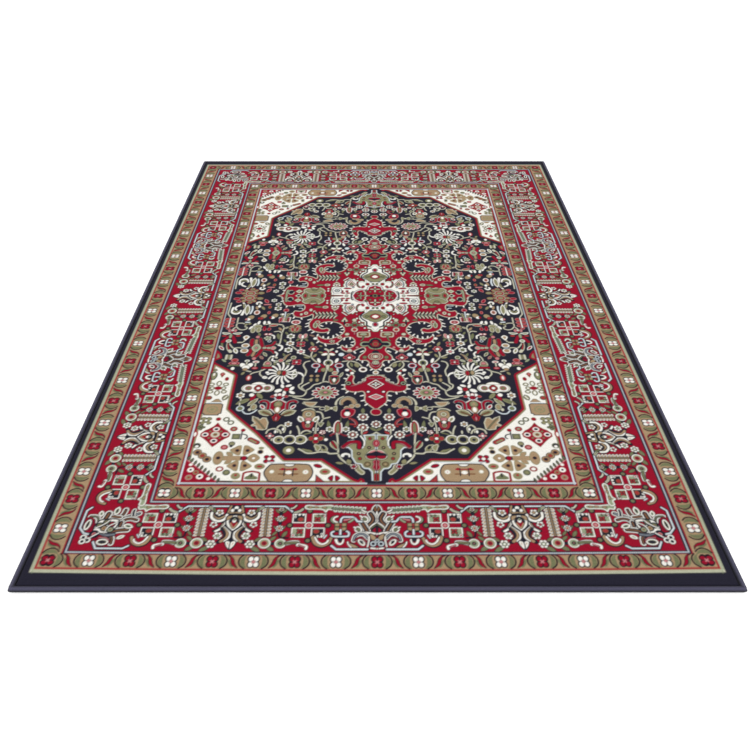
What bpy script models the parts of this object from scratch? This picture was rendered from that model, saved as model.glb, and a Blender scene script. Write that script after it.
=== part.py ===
"""A machine-woven area rug, modelled as the layers and runs it is made of.

Metres, +Z up. The origin is the middle of the rug at floor level, +X runs across
the width and +Y along the length. From the floor up the rug holds a latex back
coat, the jute weft, the warp yarns and the cut pile. The pile is split into the
bands of the design, as a weaver would name them. All four edges are serged: a
filler cord lies along the cut edge of the ground weave, and an overlocked yarn
wrap closes round both.
"""

import math

import bmesh
import bpy
from mathutils import Vector

# Driving dimensions
LENGTH = 2.300
WIDTH = 1.600
GAP = 0.0003
WELD = 0.00001

# Layers, from the floor up
COAT_THICK = 0.0008
WEFT_THICK = 0.0010
WARP_THICK = 0.0008
PILE_TOP = 0.0110

# Serged edge
SERGING_WIDTH = 0.0140
SERGING_HEIGHT = 0.0115
SERGING_WALL = 0.0008
SERGING_SQUARENESS = 2.6
CORD_RADIUS = 0.0028
CORD_SIDES = 14
GROUND_INTO_SERGING = 0.0050

# The rug's outline and the bands of its design, as half widths and half lengths
RUG = Vector((WIDTH / 2, LENGTH / 2))
FIELD = Vector((0.490, 0.850))
INNER_GUARD = Vector((0.552, 0.911))
MAIN_BORDER = Vector((0.703, 1.055))
OUTER_GUARD = Vector((0.772, 1.115))
EDGE_BAND = RUG - Vector((SERGING_WIDTH, SERGING_WIDTH))

# One quarter of the field's outline where it meets a corner spandrel
SPANDREL_STEPS = (
    (0.490, 0.352), (0.412, 0.414), (0.412, 0.568),
    (0.236, 0.765), (0.140, 0.765), (0.045, 0.850),
)

# One quarter of the lobed medallion, from its side tip to its end tip
MEDALLION_LOBES = (
    (0.316, 0.000), (0.310, 0.034), (0.292, 0.052), (0.240, 0.060),
    (0.272, 0.078), (0.270, 0.112), (0.240, 0.124), (0.212, 0.112),
    (0.218, 0.160), (0.206, 0.194), (0.166, 0.212), (0.184, 0.232),
    (0.170, 0.260), (0.136, 0.270), (0.110, 0.262), (0.108, 0.290),
    (0.084, 0.310), (0.058, 0.302), (0.038, 0.300), (0.050, 0.335),
    (0.040, 0.356), (0.022, 0.366), (0.000, 0.394),
)

# Pile and yarn colours, as linear red, green and blue
NAVY = (0.018, 0.018, 0.032)
CRIMSON = (0.32, 0.008, 0.024)
CAMEL = (0.40, 0.26, 0.14)
IVORY = (0.86, 0.84, 0.74)
JUTE = (0.42, 0.30, 0.17)
LATEX = (0.62, 0.58, 0.50)
COTTON = (0.60, 0.56, 0.48)
SERGING_YARN = (0.060, 0.056, 0.095)

SIDES = {"front": (0, -1), "right": (1, 0), "back": (0, 1), "left": (-1, 0)}


def layer_heights():
    """Bottom and top of each layer, with the mesh gap between neighbours."""
    heights = {}
    floor = 0.0
    for name, thick in (("coat", COAT_THICK), ("weft", WEFT_THICK), ("warp", WARP_THICK)):
        heights[name] = (floor, floor + thick)
        floor += thick + GAP
    heights["pile"] = (floor, PILE_TOP)
    return heights


LAYERS = layer_heights()


def clear_scene():
    for obj in list(bpy.data.objects):
        bpy.data.objects.remove(obj, do_unlink=True)


def make_collection(name):
    collection = bpy.data.collections.new(name)
    bpy.context.scene.collection.children.link(collection)
    return collection


def make_material(name, colour, roughness):
    material = bpy.data.materials.new(name)
    material.use_nodes = True
    shader = material.node_tree.nodes["Principled BSDF"]
    shader.inputs["Base Color"].default_value = (*colour, 1.0)
    shader.inputs["Roughness"].default_value = roughness
    shader.inputs["Metallic"].default_value = 0.0
    return material


def place(obj, name, material, collection):
    """Names an object, gives it its yarn and files it with the rug's parts."""
    obj.name = name
    obj.data.name = name
    obj.data.materials.append(material)
    for owner in list(obj.users_collection):
        owner.objects.unlink(obj)
    collection.objects.link(obj)
    return obj


def apply_scale(obj):
    bpy.ops.object.select_all(action="DESELECT")
    obj.select_set(True)
    bpy.context.view_layer.objects.active = obj
    bpy.ops.object.transform_apply(location=False, rotation=False, scale=True)


def add_slab(name, half, heights, material, collection):
    """A flat rectangular layer centred on the rug."""
    low, high = heights
    bpy.ops.mesh.primitive_cube_add(size=1.0, location=(0, 0, (low + high) / 2))
    obj = bpy.context.object
    obj.scale = (2 * half.x, 2 * half.y, high - low)
    apply_scale(obj)
    return place(obj, name, material, collection)


def run_frame(side, reach):
    """Half length, distance out from the centre and turn of a run along one side."""
    across, along = SIDES[side]
    distance = reach.x if across else reach.y
    half_length = reach.y if across else reach.x
    turn = math.atan2(along, across) - math.pi / 2
    return half_length, distance, turn


def add_band_run(name, side, inner, outer, heights, material, collection):
    """One side of a band of pile, with mitred ends, made from a cube."""
    outer_half, outer_distance, turn = run_frame(side, outer)
    inner_half, inner_distance, _ = run_frame(side, inner)
    low, high = heights
    inner_y, outer_y = inner_distance + GAP / 2, outer_distance - GAP / 2
    bpy.ops.mesh.primitive_cube_add(size=1.0)
    obj = bpy.context.object
    slope = (outer_half - inner_half) / (outer_distance - inner_distance)
    for vertex in obj.data.vertices:
        y = outer_y if vertex.co.y > 0 else inner_y
        half = inner_half + (y - inner_distance) * slope - GAP
        z = high if vertex.co.z > 0 else low
        vertex.co = (math.copysign(half, vertex.co.x), y, z)
    obj.rotation_euler = (0, 0, turn)
    return place(obj, name, material, collection)


def inset(points, distance):
    """A closed outline moved inwards; its corners run anticlockwise."""
    moved = []
    for i, point in enumerate(points):
        before = (point - points[i - 1]).normalized()
        after = (points[(i + 1) % len(points)] - point).normalized()
        left_before = Vector((-before.y, before.x))
        left_after = Vector((-after.y, after.x))
        mitre = (left_before + left_after).normalized()
        moved.append(point + mitre * distance / max(0.3, mitre.dot(left_after)))
    return moved


def full_outline(quarter):
    """Four mirrored quarters joined into one anticlockwise outline."""
    points = []
    for i, (sx, sy) in enumerate(((1, 1), (-1, 1), (-1, -1), (1, -1))):
        run = quarter if i % 2 == 0 else reversed(quarter)
        for x, y in run:
            point = Vector((sx * x, sy * y))
            if not points or (point - points[-1]).length > 1e-6:
                points.append(point)
    if (points[0] - points[-1]).length < 1e-6:
        points.pop()
    return points


def add_outline(name, outlines, thickness):
    """A 2D curve filled inside its outlines, with holes where they nest, and extruded."""
    curve = bpy.data.curves.new(name, "CURVE")
    curve.dimensions = "2D"
    curve.fill_mode = "BOTH"
    curve.extrude = thickness / 2
    for points in outlines:
        spline = curve.splines.new("POLY")
        spline.points.add(len(points) - 1)
        for target, point in zip(spline.points, points):
            target.co = (point.x, point.y, 0, 1)
        spline.use_cyclic_u = True
    obj = bpy.data.objects.new(name, curve)
    bpy.context.scene.collection.objects.link(obj)
    return obj


def add_figure(name, outlines, heights, material, collection):
    """A flat figure of pile, as thick as its layer."""
    low, high = heights
    obj = add_outline(name, outlines, high - low)
    obj.location.z = (low + high) / 2
    return place(obj, name, material, collection)


def add_field(material, collection):
    """The navy ground between the spandrels, open where the medallion sits."""
    outer = inset(full_outline(SPANDREL_STEPS), GAP / 2)
    hole = inset(full_outline(MEDALLION_LOBES), -GAP / 2)
    return add_figure("pile_field", [outer, hole], LAYERS["pile"], material, collection)


def add_medallion(material, collection):
    outline = inset(full_outline(MEDALLION_LOBES), GAP / 2)
    return add_figure("pile_medallion", [outline], LAYERS["pile"], material, collection)


def add_spandrel(name, sx, sy, material, collection):
    """An ivory corner of the field, outside the stepped outline."""
    points = [Vector((sx * x, sy * y)) for x, y in SPANDREL_STEPS]
    points.append(Vector((sx * FIELD.x, sy * FIELD.y)))
    if sx * sy > 0:
        points.reverse()
    return add_figure(name, [inset(points, GAP / 2)], LAYERS["pile"], material, collection)


def superellipse(half_width, half_height, angle):
    """A point on the rounded section of the serging, in its own centre."""
    power = 2 / SERGING_SQUARENESS
    c, s = math.cos(angle), math.sin(angle)
    x = math.copysign(abs(c) ** power, c) * half_width
    z = math.copysign(abs(s) ** power, s) * half_height
    return Vector((x, z))


def serging_section():
    """The wrap's section: up the pile's side, over the top, round and flat underneath.

    The first number runs outwards from the pile's edge and the second is height.
    The side towards the pile is open low down, where the ground weave goes in.
    """
    steps = 16
    half_w, half_h = SERGING_WIDTH / 2, SERGING_HEIGHT / 2
    centre = Vector((half_w, half_h))
    slot_top = LAYERS["warp"][1] + GAP
    drop = ((half_h - slot_top) / half_h) ** (SERGING_SQUARENESS / 2)
    start = math.pi + math.asin(drop)
    end = -math.pi / 2
    outer = []
    inner = []
    for i in range(steps + 1):
        angle = start + (end - start) * i / steps
        outer.append(centre + superellipse(half_w, half_h, angle))
        inner.append(centre + superellipse(half_w - SERGING_WALL, half_h - SERGING_WALL, angle))
    outer.append(Vector((0, 0)))
    inner.append(Vector((0, SERGING_WALL)))
    return outer + inner[::-1]


def lay_along_edge(obj, side):
    """Lays a run that stands on its section, ends at 45 degrees, along one side of the rug.

    In the standing run X is how far out a point lies, Y is its height and Z is only
    which end it belongs to.
    """
    half_length, distance, turn = run_frame(side, RUG)
    for vertex in obj.data.vertices:
        out, height, end = vertex.co
        half = half_length - (SERGING_WIDTH - out) - GAP / 2
        vertex.co = (math.copysign(half, end), distance - SERGING_WIDTH + out, height)
    obj.rotation_euler = (0, 0, turn)


def add_serging_wrap(side, material, collection):
    """The overlocked yarn, as one open tube round the edge."""
    name = f"serging_wrap_{side}"
    section = add_outline(name, [serging_section()], 1.0)
    bpy.context.view_layer.update()
    evaluated = section.evaluated_get(bpy.context.evaluated_depsgraph_get())
    mesh = bpy.data.meshes.new_from_object(evaluated)
    bpy.data.objects.remove(section, do_unlink=True)
    weld = bmesh.new()
    weld.from_mesh(mesh)
    bmesh.ops.remove_doubles(weld, verts=weld.verts, dist=WELD)
    weld.to_mesh(mesh)
    weld.free()
    obj = bpy.data.objects.new(name, mesh)
    bpy.context.scene.collection.objects.link(obj)
    lay_along_edge(obj, side)
    return place(obj, name, material, collection)


def add_edge_cord(side, material, collection):
    """The round filler cord, just outside the cut edge of the ground weave."""
    centre = Vector((GROUND_INTO_SERGING + GAP + CORD_RADIUS, SERGING_HEIGHT / 2, 0))
    bpy.ops.mesh.primitive_cylinder_add(vertices=CORD_SIDES, radius=CORD_RADIUS, depth=1.0)
    obj = bpy.context.object
    for vertex in obj.data.vertices:
        vertex.co += centre
    lay_along_edge(obj, side)
    return place(obj, f"edge_cord_{side}", material, collection)


def build_ground(collection):
    """The back coat and the two sets of ground yarns."""
    coat_half = EDGE_BAND - Vector((GAP, GAP))
    woven_half = EDGE_BAND + Vector((GROUND_INTO_SERGING, GROUND_INTO_SERGING))
    latex = make_material("latex_coat", LATEX, 0.6)
    jute = make_material("jute_weft", JUTE, 0.9)
    cotton = make_material("warp_yarn", COTTON, 0.85)
    add_slab("latex_back_coat", coat_half, LAYERS["coat"], latex, collection)
    add_slab("jute_weft_layer", woven_half, LAYERS["weft"], jute, collection)
    add_slab("warp_yarn_layer", woven_half, LAYERS["warp"], cotton, collection)


def build_pile(collection):
    """Every band and figure of the cut pile."""
    navy = make_material("navy_pile", NAVY, 0.95)
    crimson = make_material("crimson_pile", CRIMSON, 0.95)
    camel = make_material("camel_pile", CAMEL, 0.95)
    ivory = make_material("ivory_pile", IVORY, 0.95)
    bands = (
        ("inner_guard", FIELD, INNER_GUARD, camel),
        ("main_border", INNER_GUARD, MAIN_BORDER, crimson),
        ("outer_guard", MAIN_BORDER, OUTER_GUARD, camel),
        ("edge_band", OUTER_GUARD, EDGE_BAND, navy),
    )
    for band, inner, outer, material in bands:
        for side in SIDES:
            add_band_run(f"pile_{band}_{side}", side, inner, outer, LAYERS["pile"], material, collection)
    for end, sy in (("front", -1), ("back", 1)):
        for hand, sx in (("left", -1), ("right", 1)):
            add_spandrel(f"pile_spandrel_{end}_{hand}", sx, sy, ivory, collection)
    add_field(navy, collection)
    add_medallion(crimson, collection)


def build_edges(collection):
    """The serging wrap and its filler cord along all four sides."""
    yarn = make_material("serging_yarn", SERGING_YARN, 0.8)
    cord = make_material("filler_cord", COTTON, 0.9)
    for side in SIDES:
        add_edge_cord(side, cord, collection)
        add_serging_wrap(side, yarn, collection)


def main():
    clear_scene()
    rug = make_collection("area_rug")
    build_ground(rug)
    build_pile(rug)
    build_edges(rug)


main()
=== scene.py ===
"""The looks of a woven area rug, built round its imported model.

The cut pile is a lattice of tufts, one vertex to a tuft tip, coloured from a drawing of
one quarter of the design that is mirrored four ways. The drawing is made here from
strokes, leaves, petals and outlines, in millimetres from the rug's centre.
"""

import math

import bpy
import numpy as np
from bpy.props import FloatProperty, FloatVectorProperty, IntProperty, PointerProperty
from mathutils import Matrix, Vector


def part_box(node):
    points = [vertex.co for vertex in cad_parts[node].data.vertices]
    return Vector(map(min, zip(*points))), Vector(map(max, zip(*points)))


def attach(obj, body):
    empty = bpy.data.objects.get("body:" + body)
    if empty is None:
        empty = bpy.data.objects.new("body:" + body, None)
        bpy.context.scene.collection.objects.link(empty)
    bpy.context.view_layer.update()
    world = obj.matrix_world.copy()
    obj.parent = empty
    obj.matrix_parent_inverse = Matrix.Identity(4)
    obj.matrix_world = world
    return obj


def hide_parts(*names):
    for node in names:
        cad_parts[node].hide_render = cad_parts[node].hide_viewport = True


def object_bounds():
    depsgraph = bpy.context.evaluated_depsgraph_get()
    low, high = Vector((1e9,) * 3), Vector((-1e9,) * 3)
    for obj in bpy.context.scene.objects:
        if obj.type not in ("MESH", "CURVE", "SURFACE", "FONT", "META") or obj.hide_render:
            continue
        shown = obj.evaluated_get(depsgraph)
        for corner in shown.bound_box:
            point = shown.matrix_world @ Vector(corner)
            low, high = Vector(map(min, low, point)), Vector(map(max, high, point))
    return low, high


bl_info = {
    "name": "Woven Area Rug",
    "version": (1, 0, 0),
    "blender": (4, 5, 0),
    "location": "View3D > Sidebar > Rug",
    "description": "Builds a bordered medallion rug in cut pile with serged edges",
    "category": "Object",
}

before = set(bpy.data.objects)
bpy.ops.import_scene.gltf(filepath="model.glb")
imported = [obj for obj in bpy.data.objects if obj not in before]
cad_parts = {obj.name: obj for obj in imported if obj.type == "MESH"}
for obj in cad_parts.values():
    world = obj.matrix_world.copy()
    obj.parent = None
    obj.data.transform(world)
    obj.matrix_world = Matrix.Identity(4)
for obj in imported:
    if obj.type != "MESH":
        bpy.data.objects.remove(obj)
CAD_BOX = [list(corner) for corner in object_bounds()]
SIDES = ("front", "right", "back", "left")
MM = 0.001
# the design is drawn from this many millimetres short of its middle line
MIDDLE = 11
# what keeps two surfaces from touching
LIFT_OFF = 0.00005


def colour_property(name, description, default):
    return FloatVectorProperty(
        name=name, description=description, default=default, subtype="COLOR", size=3, min=0.0, max=1.0
    )


# ---------------------------------------------------------------- sizes and colours


class RUG_PG_yarns(bpy.types.PropertyGroup):
    """The dyed yarns of the pile."""

    navy: colour_property("Navy", "Ground of the field and the edge", (0.0125, 0.0118, 0.0205))
    ink: colour_property("Ink", "Fine dark edges round the figures", (0.0045, 0.0042, 0.0095))
    crimson: colour_property("Crimson", "Ground of the border and the medallion", (0.205, 0.0033, 0.0155))
    camel: colour_property("Camel", "Ground of the guard bands", (0.262, 0.18, 0.104))
    ivory: colour_property("Ivory", "Ground of the corner pieces and the flowers", (0.62, 0.61, 0.56))
    cream: colour_property("Cream", "Outlines and stems", (0.40, 0.39, 0.30))
    mist: colour_property("Mist", "Pale lines between the bands", (0.45, 0.50, 0.52))
    olive: colour_property("Olive", "Leaves", (0.115, 0.122, 0.062))
    sage: colour_property("Sage", "Pale leaves and figures", (0.205, 0.235, 0.15))
    brown: colour_property("Brown", "Shading of the camel figures", (0.15, 0.068, 0.031))
    rose: colour_property("Rose", "Flower hearts and edges", (0.38, 0.145, 0.15))
    khaki: colour_property("Khaki", "Green of the vase and the corner figures", (0.18, 0.17, 0.092))
    slate: colour_property("Slate", "Shading of the pale lines", (0.204, 0.231, 0.258))
    rust: colour_property("Rust", "Small red figures", (0.24, 0.025, 0.027))


# ---------------------------------------------------------------- the drawing

# all in millimetres, apart from the counts
CURVE_STEPS = 6
DISC_STEPS = 20
FINE_EDGE = 1.5
STEM_WIDTH = 4.2
STRAND_WIDTH = 1.3
SIDE_ROPE = dict(step=4.8, slant=2.2)
# how far a leaf's outline swells between its tips and its middle, as a share of its width
LEAF_SWELL = 0.16


def smooth_run(points, closed):
    """A smooth curve through the points."""
    points = np.asarray(points, float)
    if len(points) < 3:
        return points
    count = len(points)
    spans = count if closed else count - 1
    t = np.linspace(0, 1, CURVE_STEPS, endpoint=False)[:, None]
    curve = []
    for i in range(spans):
        if closed:
            a, b, c, d = (points[(i + k) % count] for k in (-1, 0, 1, 2))
        else:
            a, b, c, d = (points[min(max(i + k, 0), count - 1)] for k in (-1, 0, 1, 2))
        curve.append(
            0.5 * (2 * b + (c - a) * t + (2 * a - 5 * b + 4 * c - d) * t**2 + (3 * b - a - 3 * c + d) * t**3)
        )
    if not closed:
        curve.append(points[-1:])
    return np.concatenate(curve)


class Drawing:
    """One quarter of the design: a row for each millimetre of length, a column for each of width."""

    def __init__(self, half_width, half_length, yarns):
        self.yarns = yarns
        self.outline = 0.0
        self.sheet = np.zeros((half_length + 1 + MIDDLE, half_width + 1, 3), np.float32)

    def block(self, half_width, half_length, yarn):
        """Fills everything out to a rectangle."""
        rows = np.clip(half_length + MIDDLE + 0.5 - np.arange(self.sheet.shape[0]), 0, 1)
        columns = np.clip(half_width + 0.5 - np.arange(self.sheet.shape[1]), 0, 1)
        cover = (rows[:, None] * columns[None, :])[..., None]
        self.sheet += cover * (np.asarray(self.yarns[yarn], np.float32) - self.sheet)

    def cover(self, points, closed, widths, coats):
        """Paints coats, each a yarn and how far in it starts, inside an outline or along a run."""
        if self.outline:
            coats = [("ink", -self.outline)] + coats
        points = points + (0, MIDDLE)
        reach = max(widths) / 2 + 2 - min(0, min(inset for _, inset in coats))
        low = np.floor(points.min(0) - reach).astype(int)
        high = np.ceil(points.max(0) + reach).astype(int) + 1
        rows, columns = self.sheet.shape[:2]
        u0, v0 = max(low[0], 0), max(low[1], 0)
        u1, v1 = min(high[0], columns), min(high[1], rows)
        if u0 >= u1 or v0 >= v1:
            return
        u, v = np.meshgrid(np.arange(u0, u1), np.arange(v0, v1))
        nearest = np.full(u.shape, 1e9, np.float32)
        inside = np.zeros(u.shape, bool)
        ends = np.roll(points, -1, axis=0) if closed else points[1:]
        total = len(ends)
        for i, (start, end) in enumerate(zip(points, ends)):
            du, dv = end - start
            square = du * du + dv * dv
            if square < 1e-9:
                continue
            t = np.clip(((u - start[0]) * du + (v - start[1]) * dv) / square, 0, 1)
            half = (widths[0] + (widths[-1] - widths[0]) * (i + t) / total) / 2
            nearest = np.minimum(nearest, np.hypot(u - start[0] - t * du, v - start[1] - t * dv) - half)
            if closed and dv:
                crosses = (start[1] > v) != (end[1] > v)
                inside ^= crosses & (u < start[0] + (v - start[1]) * du / dv)
        distance = np.where(inside, -nearest, nearest) if closed else nearest
        patch = self.sheet[v0:v1, u0:u1]
        for yarn, inset in coats:
            alpha = np.clip(0.5 - distance - inset, 0, 1)[..., None]
            patch += alpha * (np.asarray(self.yarns[yarn], np.float32) - patch)


def as_coats(coats):
    """A yarn on its own starts at the outline; a pair says how far in it starts."""
    return [(coat, 0.0) if isinstance(coat, str) else (coat[1], coat[0]) for coat in coats]


class Pen:
    """Draws in a motif's own place: moved, turned, sized and, if mirrored, on both sides of its axis."""

    def __init__(self, drawing, at=(0, 0), turn=0, size=1, mirrored=False, flip=False):
        self.drawing = drawing
        self.at = np.asarray(at, float)
        angle = math.radians(turn)
        self.axes = size * np.array([[math.cos(angle), math.sin(angle)], [-math.sin(angle), math.cos(angle)]])
        self.size = size
        self.hands = (1, -1) if mirrored else (-1,) if flip else (1,)

    def spot(self, point):
        """Where a point of this motif falls on the drawing."""
        return (np.asarray(point, float) * (self.hands[0], 1)) @ self.axes + self.at

    def turned(self):
        """The turn and hand of this motif, to start another with."""
        angle = math.degrees(math.atan2(self.axes[0, 1], self.axes[0, 0]))
        return dict(turn=angle, size=self.size, flip=self.hands[0] < 0)

    def put(self, points, closed, widths, coats):
        for hand in self.hands:
            placed = (np.asarray(points, float) * (hand, 1)) @ self.axes + self.at
            self.drawing.cover(placed, closed, widths, as_coats(coats))

    def shape(self, points, *coats, sharp=False):
        """A filled outline, smooth unless sharp."""
        self.put(points if sharp else smooth_run(points, True), True, (0, 0), coats)

    def line(self, points, width, *coats, sharp=False):
        """A stroke through the points, of one width or tapering from one to another."""
        widths = width if isinstance(width, tuple) else (width, width)
        run = points if sharp else smooth_run(points, False)
        self.put(run, False, [w * self.size for w in widths], coats)

    def strokes(self, points, *layers, sharp=False):
        """Strokes through the same points, each a width and a yarn, one on the other."""
        for width, yarn in layers:
            self.line(points, width, yarn, sharp=sharp)

    def lines(self, runs, width, *coats, sharp=False):
        for points in runs:
            self.line(points, width, *coats, sharp=sharp)

    def stem(self, *points):
        """A pale stem through the points."""
        self.line(points, STEM_WIDTH, "cream")

    def stems(self, *runs):
        for points in runs:
            self.stem(*points)

    def disc(self, at, radius, *coats, turn=0):
        """A round or oval spot."""
        ru, rv = radius if isinstance(radius, tuple) else (radius, radius)
        t = np.linspace(0, 2 * math.pi, DISC_STEPS, endpoint=False)
        c, s = math.cos(math.radians(turn)), math.sin(math.radians(turn))
        x, y = ru * np.cos(t), rv * np.sin(t)
        self.put(np.stack((at[0] + c * x - s * y, at[1] + s * x + c * y), 1), True, (0, 0), coats)

    def discs(self, places, radius, *coats):
        for place in places:
            self.disc(place, radius, *coats)

    def petals(self, at, count, reach, radius, *coats, turn=0):
        """Spots set round a centre, their long way pointing out."""
        for i in range(count):
            angle = turn + 360 * i / count
            a = math.radians(angle)
            self.disc((at[0] + reach * math.cos(a), at[1] + reach * math.sin(a)), radius, *coats, turn=angle)

    def flower(self, at, count, reach, radius, petal, heart_radius, heart, turn=0):
        """Petals of one yarn round a heart of another."""
        self.petals(at, count, reach, radius, petal, turn=turn)
        self.disc(at, heart_radius, heart)

    def leaf(self, start, end, width, *coats, bend=0):
        """A pointed leaf from start to end, bowed sideways by bend."""
        start, end = np.asarray(start, float), np.asarray(end, float)
        along = end - start
        side = np.array((-along[1], along[0])) / math.hypot(*along)
        middle = (start + end) / 2 + side * bend
        run = [start, middle + side * width / 2, end, middle - side * width / 2]
        spread = [
            start,
            (start + run[1]) / 2 + side * width * LEAF_SWELL,
            run[1],
            (end + run[1]) / 2 + side * width * LEAF_SWELL,
            end,
            (end + run[3]) / 2 - side * width * LEAF_SWELL,
            run[3],
            (start + run[3]) / 2 - side * width * LEAF_SWELL,
        ]
        self.put(spread, True, (0, 0), coats)

    def leaves(self, ends, width, *coats, bend=0):
        for start, end in ends:
            self.leaf(start, end, width, *coats, bend=bend)


# a figure's own measures: x along its band or out from its axis, y across it


def rope(drawing, start, end, width, yarn, step=4.2, slant=1.0):
    """Slanted strands along a straight pale line."""
    start, end = np.asarray(start, float), np.asarray(end, float)
    length = math.hypot(*(end - start))
    along = (end - start) / length
    across = np.array((-along[1], along[0]))
    pen = Pen(drawing)
    for s in np.arange(step / 2, length, step):
        middle = start + along * s
        lean = along * width * slant / 2
        half = across * width / 2 + lean
        pen.line([middle - half, middle + half], STRAND_WIDTH, yarn, sharp=True)


def draw_bands(drawing):
    """The grounds and plain lines of every band, from the edge inwards."""
    for half_width, half_length, yarn in (
        (800, 1150, "navy"),
        (773, 1115.5, "cream"), (766, 1107.5, "camel"), (765.5, 1106, "rust"), (760.5, 1101, "camel"),
        (718, 1065, "crimson"), (715, 1063.5, "navy"), (710.8, 1060.8, "mist"), (707.7, 1057.9, "navy"),
        (703.5, 1054.5, "crimson"),
        (553.4, 913, "navy"), (550.4, 909.8, "mist"), (547.4, 906.8, "navy"), (544, 903.5, "crimson"),
        (540.5, 899.5, "camel"), (500.5, 857, "crimson"), (497.5, 853, "navy"), (495.2, 850, "mist"),
        (492, 850, "navy"),
    ):
        drawing.block(half_width, half_length, yarn)
    for u, v, width, yarn in (
        (769.5, 1111.5, 7.5, "sage"), (709.2, 1059.3, 3, "slate"), (549, 908.3, 3, "slate"),
    ):
        rope(drawing, (0, v), (u, v), width, yarn)
        rope(drawing, (u, v), (u, -MIDDLE), width, yarn, **SIDE_ROPE)
    rope(drawing, (493.5, 850), (493.5, -MIDDLE), 3, "slate", **SIDE_ROPE)


def crescents(pen, side):
    """The green and the dark crescent on one side of a flower."""
    green = ((16, -18), (26, -11), (30, 0), (26, 11), (14, 18), (18, 9), (19, 0), (19, -9))
    pen.line([(side * x, y) for x, y in ((24, -18), (31, -10), (33, 1), (29, 11), (20, 18))], 3.8, "ink")
    pen.shape([(side * x, y) for x, y in green], "olive")


def guard_flower(pen, yarn):
    """A flower of four lobes."""
    lobes = [(x, y) for x in (-6, 6) for y in (-7.3, 7.3)]
    pen.discs(lobes, (8.4, 9.4), "ink")
    pen.discs(lobes, (5.2, 6.4), yarn)
    pen.line([(0, -9), (0, 9)], 1.6, "navy")
    pen.line([(-8, 0), (8, 0)], 1.4, "navy")
    pen.petals((0, 0), 4, 2.6, (3.4, 1.7), "rose", turn=45)


def guard_leaf(pen):
    """A slanting leaf with its shade."""
    pen.shape([(11, -8), (5, -1), (0, 10), (-1, 16), (5, 12), (10, 3)], "olive")
    pen.shape([(17, -18), (7, -17), (-2, -8), (-6, 4), (-13, 17), (-4, 14), (3, 7), (6, -4), (9, -12)],
        "ink", (1.8, "crimson"))


def guard_band(drawing, corner, count, yarns, upright):
    """Flowers of two yarns in turn with leaves between, as far as the one in the corner."""
    across, run = corner if upright else corner[::-1]
    start = -MIDDLE if upright else 0
    pitch = (run - start) / count
    turned = dict(turn=-90) if upright else {}
    for i in range(count + 1):
        at = (across, start + i * pitch) if upright else (i * pitch, across)
        flower = Pen(drawing, at, flip=upright, **turned)
        for side in (-1, 1) if i < count else (-1,):
            crescents(flower, side)
        guard_flower(flower, yarns[i % 2])
        if i < count:
            at = (across, at[1] + pitch / 2) if upright else (at[0] + pitch / 2, across)
            guard_leaf(Pen(drawing, at, flip=(i % 2 == 0) != upright, **turned))


def draw_guards(drawing):
    """The two camel guards, on the end and on the side."""
    for corner, steps, yarns in (
        ((742.5, 1082), (8, 12), ("crimson", "ivory")),
        ((523.5, 879.5), (6, 10), ("ivory", "crimson")),
    ):
        for upright, count in zip((False, True), steps):
            guard_band(drawing, corner, count, yarns, upright)


def outlined(pen, points, width, edge, *inner):
    """A stroke with an edge on both sides and narrower strokes laid on it."""
    pen.line(points, width + 2 * edge[1], edge[0])
    kept, pen.drawing.outline = pen.drawing.outline, 0.0
    pen.line(points, width, inner[0])
    for narrower, yarn in inner[1:]:
        pen.line(points, narrower, yarn)
    pen.drawing.outline = kept


def feather(pen, start, end, width, barbs, ground="camel", slit="olive"):
    """A leaf of slanted barbs on both sides of a rib."""
    start, end = np.asarray(start, float), np.asarray(end, float)
    along = (end - start) / math.hypot(*(end - start))
    across = np.array((-along[1], along[0]))
    step = math.hypot(*(end - start)) / barbs
    for i in range(barbs):
        foot = start + along * step * (i + 0.7)
        for side in (-1, 1):
            tip = foot - along * step * 0.75 + across * side * width / 2
            pen.leaf(foot, tip, step * 0.9, "ivory", (1.7, ground))
    pen.strokes([start, end], (4.6, slit), (2.4, ground), sharp=True)


def four_squares(pen):
    """Four squares, two pale and two dark, round a ringed cross."""
    pen.discs([(0, -43), (0, 44), (-45, 0), (45, 0)], 7, "navy", (2, "olive"))
    for x, y, dark in ((-23.5, -21, False), (24, -21, True), (-22, 21, True), (24, 21, False)):
        box = [(x - 16, y - 14), (x + 16, y - 14), (x + 16, y + 14), (x - 16, y + 14)]
        pen.shape(box, "ivory", (2.6, "navy" if dark else "sage"), sharp=True)
        inward = (x * 0.84, y * 0.84)
        if dark:
            pen.discs([(x + k * 9.5, y - math.copysign(11, -y)) for k in (-1, 0, 1)], (2.6, 3.4), "ivory")
            pen.disc(inward, (7.5, 6.5), "brown", (1.5, "rust"))
            pen.discs([(x + math.copysign(10, x), y + math.copysign(4, y))], 3, "ivory", (1.5, "navy"))
        else:
            pen.petals(inward, 4, 5, (4, 2.6), "rust", turn=45)
            pen.disc((x + math.copysign(11, x), y + math.copysign(8, y)), 4, "ivory", (1.5, "rust"))
            pen.discs([(x - 7, y + math.copysign(8, y)), (x + 2, y + math.copysign(9, y))], 2, "olive")
    pen.disc((0, 0), 9.5, "ivory", (2.4, "crimson"), (5.2, "rose"))


def sprig(pen):
    """A stem of small flowers and paired leaves."""
    for y in (25, 50, 76):
        for side in (-1, 1):
            pen.leaf((side * 3, y + 6), (side * 14, y - 7), 5.5, "olive")
    pen.line([(0, 22), (0, 92), (-8, 102), (-22, 104)], 2, "navy")
    pen.leaf((-8, 102), (-19, 84), 9, "olive")
    pen.leaf((4, 84), (16, 98), 6, "olive")
    pen.flower((0, 19), 5, 3.6, 2.7, "cream", 1.8, "rose", turn=90)
    pen.discs([(0, 33), (0, 61)], (4, 3.4), "navy")
    for y in (47, 76):
        pen.petals((0, y), 8, 5.5, (3.4, 2.4), "ivory")
        pen.disc((0, y), 4.6, "cream", (1.6, "rust"))


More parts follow.
